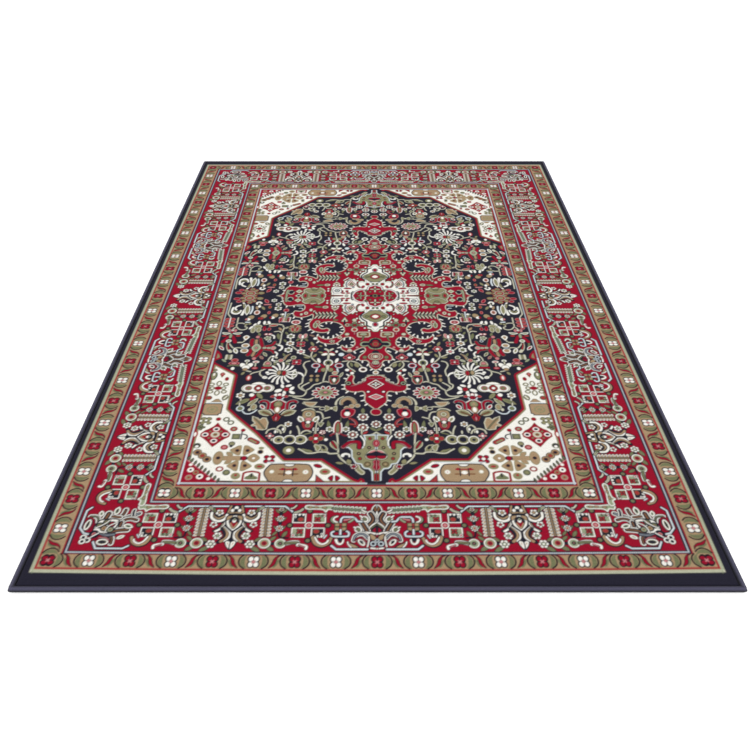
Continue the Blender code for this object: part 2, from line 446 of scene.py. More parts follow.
def border_run(pen, at_corner=False):
    """What fills the border between two palmettes, from the one at 0 to the one at 338."""
    pen.strokes([(320, 9.5), (221, 9.5), (204, 24), (193, 36)], (8, "navy"), (4, "mist"), sharp=True)
    outlined(pen, [(178, 18), (184, 24), (196, 29)], 5.5, ("navy", 1.5), "cream", (1.5, "olive"))
    outlined(pen, [(194, 7), (200, 14), (206, 16)], 4, ("navy", 1.5), "cream")
    feather(pen, (261, 98), (262, 14), 27, 9)
    outlined(pen, [(274, 13), (281, 18), (287, 26)], 6, ("navy", 1), "cream", (3, "olive"))
    sprig(Pen(pen.drawing, pen.spot((229, 0)), **pen.turned()))
    four_squares(Pen(pen.drawing, pen.spot((160.5, 67)), **pen.turned()))
    # the row of discs
    pen.leaf((234, 99), (249, 112), 8, "olive")
    pen.leaf((236, 140), (257, 127), 11, "olive")
    pen.leaf((268, 103), (284, 114), 8, "olive")
    pen.leaf((268, 142), (292, 128), 11, "olive")
    pen.discs([(241.5, 120), (278, 120)], (5, 3.5), "navy")
    pen.disc((223, 119.5), 13, "ivory", (2.3, "sage"))
    pen.flower((223, 119.5), 5, 2.4, 1.8, "olive", 1.4, "rose")
    pen.disc((260, 119), 14.5, "ivory", (2.5, "sage"), (7.2, "rust"))
    pen.disc((260, 119), 2.2, "crimson")
    pen.petals((293, 121.5), 6, 6.8, (4.6, 4), "ivory")
    pen.disc((293, 121.5), 5, "sage", (2.4, "ivory"))
    pen.line([(208, 119), (196, 116), (184, 116)], 10, "ivory")
    pen.line([(210, 119), (197, 117), (184, 117)], 5.4, "olive")
    pen.line([(182, 123), (164, 127), (163, 134)], (8, 6), "ivory")
    pen.line([(180, 124), (167, 129)], 2.4, "rose")
    # the curl under a dark square
    pen.line([(107, 104), (113, 117), (127, 125), (141, 119), (147, 104)], (9, 15), "navy")
    pen.line([(107, 104), (113, 117), (127, 124), (141, 118), (147, 103)], (7, 12), "camel")
    pen.line([(113, 110), (117, 117), (127, 121), (137, 115), (144, 102)], 4, "ivory")
    pen.line([(118, 96), (123, 104)], 3, "mist")
    # the broad leaf and its feather along the inner side
    pen.shape([(100, 10), (113, 5), (140, 7), (168, 5), (174, 13), (166, 19), (146, 19), (130, 21),
        (122, 28), (116, 20), (104, 21)], "ivory", (2.6, "sage"))
    pen.discs([(126, 13), (146, 12), (160, 12)], (5, 2.4), "camel")
    if not at_corner:
        feather(pen, (28, 22), (106, 16), 21, 8, ground="sage")


def palmette_a(pen):
    """A shield-shaped palmette under a crown, drawn about its axis."""
    crown = [(0, 7), (13, 7), (18, 14), (23, 33), (20, 40), (0, 40)]
    pen.shape(crown, "navy", sharp=True)
    pen.line([(13, 8), (17, 20), (20, 36)], 6.5, "navy")
    pen.line([(13, 9), (16, 20), (19, 35)], 4.5, "camel")
    pen.line([(0, 29), (14, 30)], 3.4, "camel", sharp=True)
    pen.disc((0, 15), (5, 5.5), "ivory")
    pen.disc((8.5, 22.5), (4, 4.6), "ivory")
    pen.disc((0, 22), 3.4, "navy")
    # the crescent, buds and leaves beside it
    arc = [(57, 30), (55, 45), (40, 55), (25, 50), (20, 36)]
    pen.strokes(arc, (10, "navy"), (6, "ivory"))
    pen.line([(50, 37), (39, 47), (27, 41)], 5, "camel")
    pen.line([(48, 36), (39, 42), (30, 37)], 3, "navy")
    pen.flower((38, 29), 5, 5, (4.6, 3.6), "ivory", 3.4, "camel", turn=90)
    pen.flower((47, 65), 5, 4.6, (4.4, 3.6), "ivory", 2.8, "rust", turn=20)
    pen.line([(50, 26), (53, 17)], (5, 3), "olive")
    pen.shape([(17, 54), (27, 60), (34, 73), (47, 83), (40, 88), (30, 84), (19, 70)], "navy", (2, "camel"))
    pen.line([(20, 58), (22, 68), (31, 79), (40, 85)], 5, "ivory")
    # the shield
    pen.shape([(-20, 54), (-18, 40), (0, 36), (18, 40), (20, 54), (16, 70), (0, 86), (-16, 70)], "navy",
        (2.2, "ivory"))
    pen.shape([(6, 39), (17, 41), (18, 52), (11, 47)], "camel")
    pen.shape([(-11, 52), (0, 42), (11, 52), (9, 64), (0, 77), (-9, 64)], "camel", (3.4, "crimson"))
    pen.line([(0, 43), (6, 49), (10, 58)], 2.4, "navy")
    pen.disc((0, 53), (4.4, 6.6), "ivory")
    pen.disc((0, 49), (2, 3), "sage")
    # the crossed leaves below
    pen.line([(25, 77), (18, 88), (16, 98), (21, 108), (28, 116)], (7, 8), "navy")
    pen.line([(20, 73), (12, 85), (10, 98), (15, 108), (23, 114)], 7, "camel")
    pen.line([(20, 71), (9, 82), (4, 93), (7, 105), (14, 113)], 4.4, "ivory")
    pen.line([(20, 68), (0, 87)], 2.4, "navy", sharp=True)
    pen.line([(0, 87), (0, 106)], 3, "navy", sharp=True)
    pen.disc((24, 98), (4, 6), "rust")
    pen.flower((33, 98), 6, 5.6, (4.6, 3.8), "ivory", 3.4, "sage")
    pen.shape([(0, 102), (8, 112), (6, 118), (0, 121)], "navy", sharp=True)
    pen.shape([(0, 137), (9, 128), (13, 116), (8, 112), (0, 117)], "navy", (1.6, "ivory"), (5, "camel"))


def palmette_b(pen):
    """A fan palmette with hooks, buds and an anchor, drawn about its axis."""
    pen.shape([(0, 4), (8, 8), (13, 19), (12, 28), (3, 37), (-3, 37), (0, 20)], "ivory", (2.4, "navy"))
    pen.disc((4, 18), (2.6, 7), "brown", turn=10)
    outlined(pen, [(12, 27), (27, 26), (36, 20)], 3, ("crimson", 0), "ivory")
    outlined(pen, [(15, 32), (9, 45), (11, 56), (19, 66)], 13, ("ivory", 2.2), "navy", (3.6, "brown"))
    outlined(pen, [(35, 60), (29, 71), (23, 84)], 12, ("ivory", 2.2), "navy", (3.8, "brown"))
    pen.line([(0, 57), (13, 68), (18, 76)], 3, "ivory")
    pen.line([(0, 64), (14, 75)], 2.6, "olive")
    pen.shape([(0, 68), (14, 83), (0, 90)], "navy", (3, "crimson"))
    pen.line([(0, 92), (22, 88), (40, 87)], 4.5, "ivory")
    for at, tip in (((29, 48), (40, 38)), ((44, 79), (54, 72))):
        pen.disc(at, (10, 8.5), "ivory", (3.2, "sage"), (4.6, "navy"), turn=-50)
        pen.line([at, tip], (6, 3), "ivory")
        pen.disc(at, (5, 3.6), "olive", turn=-50)
    pen.shape([(16, 91), (4, 98), (1, 108), (9, 111), (17, 103)], "navy", (1.4, "camel"))
    outlined(pen, [(22, 103), (29, 94), (40, 92), (50, 98), (54, 110)], 8, ("ivory", 2), "navy",
        (2.4, "slate"))
    pen.line([(24, 116), (31, 106), (42, 103), (50, 110)], 3.6, "crimson")
    pen.line([(26, 118), (33, 108), (42, 107), (48, 112)], 1.8, "rose")
    pen.disc((36, 116), (11, 6), "ivory", (3, "olive"), turn=-50)
    pen.disc((36, 115), (4, 2), "navy", turn=-50)
    pen.line([(19, 100), (19, 112), (22, 128)], 3, "ivory")
    pen.disc((9, 120), 8.5, "navy", (1.6, "mist"), (4, "navy"))
    pen.disc((0, 111), 5, "mist", (2, "navy"))
    pen.line([(0, 134), (14, 132)], 4, "ivory")
    pen.shape([(42, 131), (50, 123), (64, 117), (69, 115), (66, 124), (58, 132)], "navy", (1.6, "camel"))
    pen.line([(58, 132), (66, 122), (68, 115)], 3, "ivory")
    # the hook with its flower and anchor
    hook = [(36, 56), (46, 55), (52, 46), (58, 42), (80, 42), (85, 48), (86, 59)]
    pen.strokes(hook, (7, "navy"), (4.4, "mist"), sharp=True)
    pen.line([(56, 48), (60, 53), (66, 57)], 5, "sage")
    pen.line([(62, 47), (70, 50), (77, 51)], (3, 5), "rose")
    pen.line([(95, 40), (105, 44), (108, 50), (104, 57), (96, 59)], (5, 9), "navy")
    pen.line([(95, 39), (104, 43), (107, 50), (103, 56), (95, 59)], (4, 7), "sage")
    pen.line([(94, 40), (101, 44), (103, 50), (100, 55), (94, 58)], 3.6, "ivory")
    for x in (78, 93):
        for y in (65, 77):
            pen.shape([(x - 6, y - 5), (x + 6, y - 5), (x + 6, y + 5), (x - 6, y + 5)], "olive",
                (1.6, "camel"), sharp=True)
    pen.discs([(85.5, 66), (85.5, 75)], (2.4, 5), "rust")
    pen.discs([(75, 92), (95, 91)], (8, 6.5), "navy", (2.5, "crimson"))
    pen.line([(85.5, 80), (85.5, 103)], 4.4, "mist", sharp=True)
    pen.strokes([(71, 84), (66, 88), (66, 95), (71, 99), (100, 99), (106, 94), (106, 88), (101, 85)],
        (6.5, "navy"), (4.2, "mist"))
    pen.disc((85, 108), 5, "navy")
    pen.line([(78, 108), (80, 117), (86, 121), (92, 117), (95, 109)], (3, 6), "ivory")
    foot = [(22, 135.5), (94, 135.5), (105, 125.5)]
    pen.strokes(foot, (7, "navy"), (4.6, "mist"), sharp=True)


def palmette_corner(pen):
    """The spray of petals that turns the border's corner."""
    for run in (
        [(133, 15), (143, 25), (144, 78), (131, 93), (119, 96)],
        [(18, 128), (30, 136), (92, 136), (102, 118)],
    ):
        pen.strokes(run, (7.5, "navy"), (4, "mist"), sharp=True)
    outlined(pen, [(48, 51), (40, 44), (28, 40), (15, 33)], 9, ("ivory", 2.2), "navy", (2.6, "slate"))
    outlined(pen, [(28, 40), (30, 30), (29, 23)], 6, ("ivory", 2), "navy")
    outlined(pen, [(50, 66), (46, 54), (32, 49), (17, 53)], 9, ("ivory", 2.2), "navy", (2.6, "brown"))
    outlined(pen, [(52, 72), (51, 60)], 10, ("ivory", 2), "navy", (3, "brown"))
    outlined(pen, [(58, 44), (52, 34), (50, 22)], 9, ("ivory", 2.4), "navy", (2.6, "brown"))
    outlined(pen, [(58, 45), (76, 43)], 8, ("ivory", 2.2), "navy", (4, "brown"))
    outlined(pen, [(95, 62), (90, 44), (88, 34)], 13, ("ivory", 2.6), "navy", (4.6, "brown"))
    outlined(pen, [(106, 60), (110, 48), (118, 43), (129, 43)], 7, ("ivory", 2.4), "navy", (2.4, "olive"))
    outlined(pen, [(32, 82), (52, 84), (70, 90)], 11, ("ivory", 2.4), "navy", (3.8, "brown"))
    outlined(pen, [(72, 100), (62, 106), (60, 122)], 8, ("ivory", 2.4), "navy", (2.6, "brown"))
    outlined(pen, [(60, 96), (76, 98), (92, 93)], 5, ("navy", 1.5), "slate", (2, "navy"))
    for start, end, width in (
        ((72, 39), (68, 12), 15), ((104, 44), (107, 25), 13), ((45, 68), (20, 75), 14),
        ((52, 108), (33, 99), 10),
    ):
        pen.leaf(start, end, width, "ivory", (2.8, "sage"), (4.8, "navy"))
    pen.disc((128, 68), (8, 17), "rose")
    pen.disc((129, 68), (7, 16), "ivory", (3, "olive"), (4.6, "navy"), turn=-8)
    pen.line([(121, 82), (116, 66), (122, 50), (131, 47)], 3, "crimson")
    pen.disc((81, 116), (17, 13), "crimson")
    pen.disc((81, 118), (14, 9), "ivory", (3, "olive"), (4.6, "navy"))
    pen.line([(68, 112), (78, 105), (92, 106)], 2.4, "rose")
    # the heart of panes
    pen.shape([(60, 52), (96, 52), (108, 62), (112, 84), (98, 92), (74, 92), (60, 76)], "navy",
        (2, "ivory"))
    for x, y, yarn in (
        (72, 66, "crimson"), (88, 78, "camel"), (100, 70, "olive"), (72, 82, "sage"), (86, 60, "olive"),
    ):
        pen.disc((x, y), (8, 8), "navy", (1.8, yarn), (5, "brown"), turn=40)
    pen.lines([[(60, 60), (78, 72), (84, 92)], [(80, 54), (90, 66), (108, 78)]], 2.4, "ivory")
    pen.disc((106, 96), 11, "navy")
    pen.petals((106, 96), 4, 6, 3.4, "navy", turn=45)
    pen.disc((106, 96), 5.4, "rose", (2.4, "rust"))
    pen.line([(96, 92), (118, 110)], 2.6, "ivory")
    pen.discs([(117, 113), (128, 105), (128, 117)], 7.5, "ivory", (3, "navy"))


def draw_border(drawing):
    """The crimson main border: palmettes of two kinds in turn, and a spray in the corner."""
    end, side = 912, 556
    border_run(Pen(drawing, (0, end)))
    border_run(Pen(drawing, (676, end), flip=True), at_corner=True)
    border_run(Pen(drawing, (side, 342), turn=-90))
    border_run(Pen(drawing, (side, 344), turn=-90, flip=True))
    border_run(Pen(drawing, (side, 1022), turn=-90), at_corner=True)
    for at, turned in (((338, end), {}), ((side, -MIDDLE), dict(turn=-90)), ((side, 682), dict(turn=-90))):
        palmette_a(Pen(drawing, at, mirrored=True, **turned))
    for at, turned in (((0, end), {}), ((side, 343), dict(turn=-90))):
        palmette_b(Pen(drawing, at, mirrored=True, **turned))
    palmette_corner(Pen(drawing, (553, 912)))


SPANDREL_EDGE = (
    (491, 297), (484, 302), (473, 318), (467, 337), (484, 349), (487, 356), (480, 364), (412, 413),
    (408, 422), (408, 568), (383, 597), (320, 662), (236, 762), (140, 762), (56, 833), (47, 837),
    (40, 829), (32, 834), (27, 850), (491, 850),
)


def draw_spandrel(drawing):
    """The ivory corner piece with its figures."""
    pen = Pen(drawing)
    pen.shape(SPANDREL_EDGE, "crimson", (6.8, "khaki"), (11.4, "ivory"), sharp=True)
    pen.disc((486, 672), (8, 13), "rust", (4.5, "ivory"))
    pen.strokes([(493.5, 338), (493.5, 850)], (7, "navy"), (4.6, "mist"), sharp=True)
    pen.line([(26, 847.5), (496, 847.5)], 5, "mist", sharp=True)
    rope(drawing, (26, 847.5), (496, 847.5), 4, "slate")
    # bottle, drops and the big rosette
    pen.shape([(470, 397), (477, 390), (485, 397), (480, 401), (477, 408), (474, 401)], "navy",
        (1.6, "khaki"))
    pen.shape([(470, 409), (478, 406), (487, 410), (488, 425), (483, 441), (473, 441), (467, 425)], "navy",
        (2.4, "olive"), (5, "khaki"))
    pen.disc((478, 417), (3, 7), "ivory")
    pen.shape([(453, 407), (461, 415), (457, 424), (453, 432), (449, 424), (445, 415)], "brown",
        (2, "rust"))
    pen.disc((453, 415), 3, "rose")
    pen.disc((437, 438), (6.4, 9), "brown", (1.6, "crimson"))
    for at, size in (
        ((456, 459), (8.5, 12)), ((456, 501), (8.5, 12)), ((440, 480), (8, 8)), ((473, 480), (8, 8)),
        ((436, 463), (9, 8)), ((477, 463), (9, 8)), ((437, 496), (9, 8)), ((476, 496), (9, 8)),
    ):
        pen.disc(at, size, "navy", (1.4, "khaki"), (4.4, "ivory"))
    pen.disc((456, 480), (11, 8.5), "brown", (1.4, "crimson"))
    pen.leaf((424, 508), (434, 535), 18, "navy", (2, "khaki"))
    pen.line([(425, 515), (432, 527)], 3, "ivory")
    pen.disc((475, 523), 9.5, "navy", (1.6, "brown"), (4, "rust"))
    pen.shape([(434, 541), (446, 527), (454, 527), (467, 541)], "navy", (1.2, "camel"), sharp=True)
    pen.line([(436, 544.5), (474, 544.5)], 3, "mist", sharp=True)
    pen.shape([(432, 549), (436, 546), (480, 546), (485, 551), (485, 590), (479, 591), (478, 597),
        (436, 597), (435, 591), (429, 590), (429, 552)], "navy", (3, "camel"), sharp=True)
    pen.disc((457, 572), (16, 14), "khaki", (4, "camel"), (9, "khaki"))
    # rings, blocks and the stepped diamond
    for at in ((397, 626), (411, 613)):
        pen.disc(at, 9.5, "navy", (1.5, "olive"), (4.6, "ivory"))
    pen.disc((433, 612), 7.5, "brown", (1.5, "crimson"))
    for x in (459, 473):
        for y in (612, 626):
            pen.disc((x, y), 8.5, "navy", (1.8, "khaki"))
    pen.discs([(466, 617), (466, 631), (480, 619), (452, 619)], 3.6, "ivory")
    pen.petals((475, 645), 4, 6, (6.5, 5), "navy", (1.6, "olive"))
    pen.shape([(432, 625), (441, 640), (452, 650), (462, 656), (472, 668), (472, 680), (460, 690),
        (450, 700), (440, 712), (432, 721), (424, 712), (414, 700), (404, 690), (393, 682), (391, 670),
        (401, 657), (412, 650), (422, 640)], "brown", (1.4, "crimson"), sharp=True)
    for at in ((432, 652), (405, 673), (459, 673), (432, 697)):
        pen.disc(at, (10, 9), "rose", (1.4, "ivory"), (4.4, "navy"))
    pen.disc((432, 673), (13, 12.5), "rose", (1.2, "cream"), (7, "brown"))
    pen.discs([(418, 661), (447, 661), (418, 686), (447, 686)], 3.4, "olive")
    pen.disc((385, 651), (10.5, 9.5), "navy", (1.2, "rust"), (6, "sage"))
    pen.disc((359, 656), 6.5, "brown", (1, "crimson"))
    pen.lines([[(361, 662), (361, 690)], [(358, 671), (348, 675), (345, 683), (350, 689)]], 4, "navy")
    pen.shape([(364, 670), (386, 670), (386, 691), (364, 691)], "navy", (2, "olive"), (6, "khaki"),
        sharp=True)
    outlined(pen, [(316, 703), (336, 691)], 12, ("navy", 2), "rust")
    pen.line([(320, 703), (335, 693)], 6, "khaki")
    pen.disc((382, 708), 9, "navy", (2, "khaki"))
    pen.disc((383, 717), 4.5, "navy")
    for at, heart in (((400, 721), "rose"), ((400, 799), "ivory")):
        pen.disc(at, (10.5, 9.5), "brown", (1.2, "crimson"), (4.6, heart))
    pen.disc((302, 724), (7.5, 5), "khaki")
    pen.disc((303, 738), 8.5, "camel", (2, "navy"))
    # the camel flower lying on its side
    for flip in (1, -1):
        for points, eye in (
            ([(319, 731), (330, 720), (340, 714), (348.5, 717), (348.5, 744), (343, 751), (332, 744)],
            (337, 733)),
            ([(354, 717), (362, 714), (372, 721), (384, 732), (370, 746), (360, 751), (354, 746)],
            (364, 733)),
        ):
            pen.shape([(x, 760 + flip * (y - 760)) for x, y in points], "khaki", (2, "camel"))
            pen.disc((eye[0], 760 + flip * (eye[1] - 760)), 6, "brown", (1.6, "navy"))
        pen.leaf((372, 760 + flip * 6), (392, 760 - flip * -22), 15, "khaki", (2.4, "camel"))
    pen.shape([(301, 760), (313, 746), (324, 746), (334, 757), (334, 765), (322, 775), (312, 774)],
        "khaki", (2, "camel"))
    pen.disc((318, 761), 3.6, "ivory")
    pen.line([(354, 761), (397, 761)], 17, "camel", sharp=True)
    pen.disc((410, 760), (14, 25), "khaki", (2, "camel"))
    pen.disc((410, 760), 6, "brown", (1, "navy"))
    pen.disc((343, 761), (10, 8.5), "navy")
    pen.disc((343, 761), (6, 8), "crimson")
    # small figures round it
    pen.petals((277, 764), 4, 10.5, (8, 7.5), "navy", (1.8, "crimson"), turn=45)
    pen.disc((277, 763), 5, "ivory")
    pen.disc((299, 790), (14, 10.5), "camel", (1.5, "khaki"), (6.5, "rust"))
    pen.disc((356, 823), (12.5, 12), "camel", (2, "khaki"))
    pen.disc((356, 820), 3.8, "rust")
    pen.disc((381, 811), 10, "navy", (2, "olive"), (6, "khaki"))
    pen.shape([(293, 812), (300, 807), (316, 804), (332, 807), (340, 812), (340, 840), (334, 844),
        (298, 844), (292, 840)], "brown", (1.2, "crimson"), (6, "ivory"), sharp=True)
    pen.shape([(302, 834), (301, 826), (308, 822), (316, 814), (325, 822), (331, 826), (330, 834)],
        "olive")
    pen.line([(316, 815), (316, 825)], 4, "navy")
    for at, heart in (((467, 740), "navy"), ((452, 752), "rust"), ((438, 765), "navy")):
        pen.disc(at, 12, "navy", (1.8, "camel"), (5, "brown"), (7.4, heart))
    pen.disc((473, 715), (10.5, 10), "navy", (1, "olive"), (3, "navy"))
    pen.disc((473, 718), 4.6, "ivory")
    # the corner
    pen.shape([(491, 763), (396, 843.5), (491, 843.5)], "rose", sharp=True)
    pen.shape([(491, 767), (401, 843.5), (491, 843.5)], "crimson", sharp=True)
    for i in range(10):
        x, y = 483 - i * 9.7, 750 + i * 8.7
        pen.leaf((x, y), (x + 4, y + 19), 8.5, "navy", (2.2, "olive"))
    for at, radius, heart in (
        ((476, 784), 4.6, "ivory"), ((473, 802), 8.5, "navy"), ((446, 825), 9, "navy"),
        ((423, 832), 5, "ivory"),
    ):
        pen.disc(at, radius, "ivory", (5, heart))
    pen.disc((458, 811), 7.5, "khaki", (3, "rust"))
    pen.disc((473, 828), 9.5, "rose", (2, "khaki"), (6, "rust"))
    pen.line([(396, 840), (362, 843)], 4, "navy")
    # the camel cartouche on the end
    pen.line([(150, 775.5), (280, 775.5)], 3.4, "mist", sharp=True)
    pen.shape([(160, 811), (167, 789), (184, 780), (262, 780), (278, 789), (287, 811), (278, 833),
        (262, 844), (184, 844), (167, 833)], "navy", (3.4, "camel"))
    for y, depth in ((781, 1), (843, -1)):
        pen.shape([(210, y), (213, y + depth * 8), (223, y + depth * 10), (233, y + depth * 8), (236, y)],
            "navy", (2.2, "ivory"))
    pen.line([(202, 800), (246, 800)], 4, "crimson")
    pen.line([(200, 816), (248, 816)], 4.6, "brown")
    pen.lines([[(212, 797), (212, 822)], [(234, 797), (234, 822)]], 3, "navy")
    pen.disc((223, 811), (8, 6), "ivory")
    pen.discs([(207, 799), (239, 799)], 4.4, "crimson")
    pen.disc((180, 809), 8, "cream", (2, "ivory"), (6, "rose"))
    pen.disc((266, 808), 6.5, "cream", (2, "ivory"))
    # by the foot
    pen.disc((150, 788), (12, 7), "navy", (2, "crimson"), turn=-20)
    pen.disc((131, 808), (14, 11), "camel", (1.5, "khaki"), (6.5, "rust"))
    for side in (-1, 1):
        pen.shape([(107 + side * 2, 822), (107 + side * 8, 821), (107 + side * 16, 830),
            (107 + side * 8, 840), (107 + side * 3, 838)], "navy", (2, "crimson"))
    pen.shape([(154, 816), (154, 844), (129, 843)], "navy", (2, "rust"), (7, "olive"), sharp=True)


def draw_foot(drawing):
    """The green vase on the field's axis, and the sprays that spring from it."""
    pen = Pen(drawing, mirrored=True)
    edge = [(0, 672), (35, 674), (31, 690), (33, 712), (38, 722), (40, 702), (50, 695), (62, 692), (75, 697),
            (86, 707), (93, 716), (92, 724), (74, 723), (66, 733), (65, 757), (58, 772), (54, 780), (40, 783),
            (37, 792), (31, 798), (20, 799), (13, 809), (12, 838), (0, 842)]
    pen.shape(edge, "mist", (3.6, "khaki"), sharp=True)
    pen.line([(42, 678), (32, 697), (32, 714)], 4, "ivory")
    pen.line([(45, 722), (46, 703), (60, 701), (74, 706), (87, 719)], 12, "rose")
    pen.line([(45, 722), (46, 703), (60, 700), (74, 704), (87, 718)], (10, 7), "crimson")
    pen.line([(70, 755), (71, 748), (80, 745), (87, 748), (88, 752)], (4, 9), "ivory")
    pen.disc((0, 706), (9, 13), "rose", (1.6, "crimson"), (6, "rose"))
    pen.shape([(0, 731), (12, 731), (21, 738), (29, 752), (22, 764), (8, 765), (0, 760)], "cream",
        (2.6, "rose"))
    pen.shape([(0, 737), (12, 742), (22, 744), (25, 752), (0, 752)], "navy")
    pen.shape([(0, 754), (10, 752), (24, 753), (20, 761), (6, 761)], "crimson")
    pen.discs([(17, 688), (43, 762)], (4.4, 5), "brown", (1.5, "crimson"))
    pen.discs([(19, 722), (46, 744)], (4, 4.6), "navy", (1.8, "camel"))
    pen.disc((23, 782), 7.5, "brown", (1.5, "olive"), (4, "camel"))
    pen.shape([(0, 768), (9, 772), (7, 782), (10, 794), (0, 803)], "rose", (1.6, "crimson"))
    pen.shape([(0, 812), (7, 816), (7, 838), (0, 840)], "camel", (1.2, "crimson"), sharp=True)
    # sprays
    outlined(pen, [(37, 811), (47, 800), (50, 790)], 9, ("cream", 3), "khaki")
    pen.petals((58, 790), 6, 5, 4, "rose", (1.2, "ivory"))
    pen.disc((58, 790), 4, "crimson")
    stem = [(106, 668), (103, 690), (100, 730), (99, 748), (91, 763), (78, 777), (64, 785)]
    pen.lines([[(106, 666), (98, 668), (90, 674), (80, 678)], [(106, 666), (114, 669), (122, 676)]],
        (4, 7), "rose")
    pen.lines([[(96, 671), (80, 679)], [(112, 670), (124, 677)]], 2.6, "crimson")
    pen.line(stem, 4.6, "cream")
    pen.shape([(102, 730), (101, 712), (114, 696), (123, 703), (121, 716), (109, 728)], "cream",
        (2, "khaki"))
    pen.line([(105, 724), (112, 711), (117, 701)], (3, 6), "crimson")
    pen.leaf((68, 782), (74, 764), 13, "khaki")
    pen.leaf((84, 780), (106, 776), 8, "khaki")
    pen.leaf((128, 738), (151, 710), 20, "cream", (1.8, "khaki"))
    pen.disc((139, 722), (2.6, 6), "navy", turn=25)
    pen.leaf((153, 738), (163, 708), 17, "cream", (2.4, "khaki"), bend=-5)
    pen.leaf((166, 737), (202, 727), 14, "khaki", (3, "olive"), bend=4)
    pen.line([(101, 743), (122, 744), (129, 739), (150, 738), (165, 742), (182, 742), (195, 733),
        (204, 727)], 4.6, "cream")
    for at, yarn in (
        ((149, 688), "rust"), ((173, 688), "rust"), ((161, 677), "crimson"), ((161, 699), "crimson"),
    ):
        pen.disc(at, 9, "olive", (1.6, yarn))
    pen.disc((161, 688), 4.6, "ivory")
    pen.line([(163, 668), (163, 640), (160, 620)], 3.4, "cream")
    pen.line([(137, 690), (142, 674)], 1.8, "olive")
    pen.disc((134, 692), 5, "ivory")
    pen.petals((145, 664), 5, 4.6, 4.4, "rose", (1.4, "ivory"), turn=90)
    # the chained discs
    pen.line([(186, 692), (276, 692)], 10, "cream", sharp=True)
    for at, radius, heart in (((202, 692), 17.5, 11), ((231, 692), 17.5, 7.5), ((260, 693), 15, 10)):
        pen.disc(at, radius, "ivory", (2.8, "khaki"), (heart, "navy"))
    pen.disc((230, 732), 15.5, "olive", (1.5, "khaki"), (9, "ivory"))
    pen.disc((231, 664), (2.6, 7), "cream")
    pen.flower((285, 678), 4, 6, (5.4, 4), "rose", 3.6, "ivory")


def rosette(pen, at, size=1.0):
    """A small round flower: pale petals, a red ring, a white heart."""
    x, y = at
    pen.petals(at, 8, 9.5 * size, (5 * size, 4.4 * size), "ivory")
    pen.disc((x, y), (8.6 * size, 9 * size), "sage", (1.2, "crimson"))
    pen.disc((x, y), (3.2 * size, 4.4 * size), "ivory")


def pale_flower(pen, at, heart="camel", petal="ivory", size=1.0):
    """A six-petalled flower in two yarns."""
    pen.flower(at, 6, 8 * size, (5.6 * size, 4.8 * size), petal, 5.6 * size, heart, turn=90)


def tulip(pen, at, petal, heart, leaf="olive"):
    """A cup of two petals over a pair of leaves."""
    x, y = at
    pen.leaves([((x - 4, y + 22), (x - 18, y + 2)), ((x + 4, y + 22), (x + 18, y + 2))], 6, leaf)
    pen.disc((x - 7, y), (7, 14), "cream", (1.4, petal), turn=-12)
    pen.disc((x + 7, y + 2), (7, 13), "cream", (1.4, petal), turn=12)
    pen.disc((x, y + 4), (4, 9), heart)


def spiky_flower(pen, at, reach, ribs, tilt=0):
    """A flower of curved ribs round a red and camel heart."""
    for i in range(ribs):
        angle = math.radians(tilt + 360 * i / ribs)
        c, s = math.cos(angle), math.sin(angle)
        inner = (at[0] + c * reach * 0.34, at[1] + s * reach * 0.36)
        middle = (at[0] + (c + 0.1 * s) * reach * 0.68, at[1] + (s - 0.1 * c) * reach * 0.78)
        outer = (at[0] + c * reach * 0.94, at[1] + s * reach * 1.15)
        pen.line([inner, middle, outer], (4.4, 6.4), "ivory")
    pen.disc((at[0] - 7, at[1]), (6.5, 12), "brown", (1.5, "crimson"))
    pen.disc((at[0] + 8, at[1] - 2), (6.5, 11), "olive", (2, "camel"))


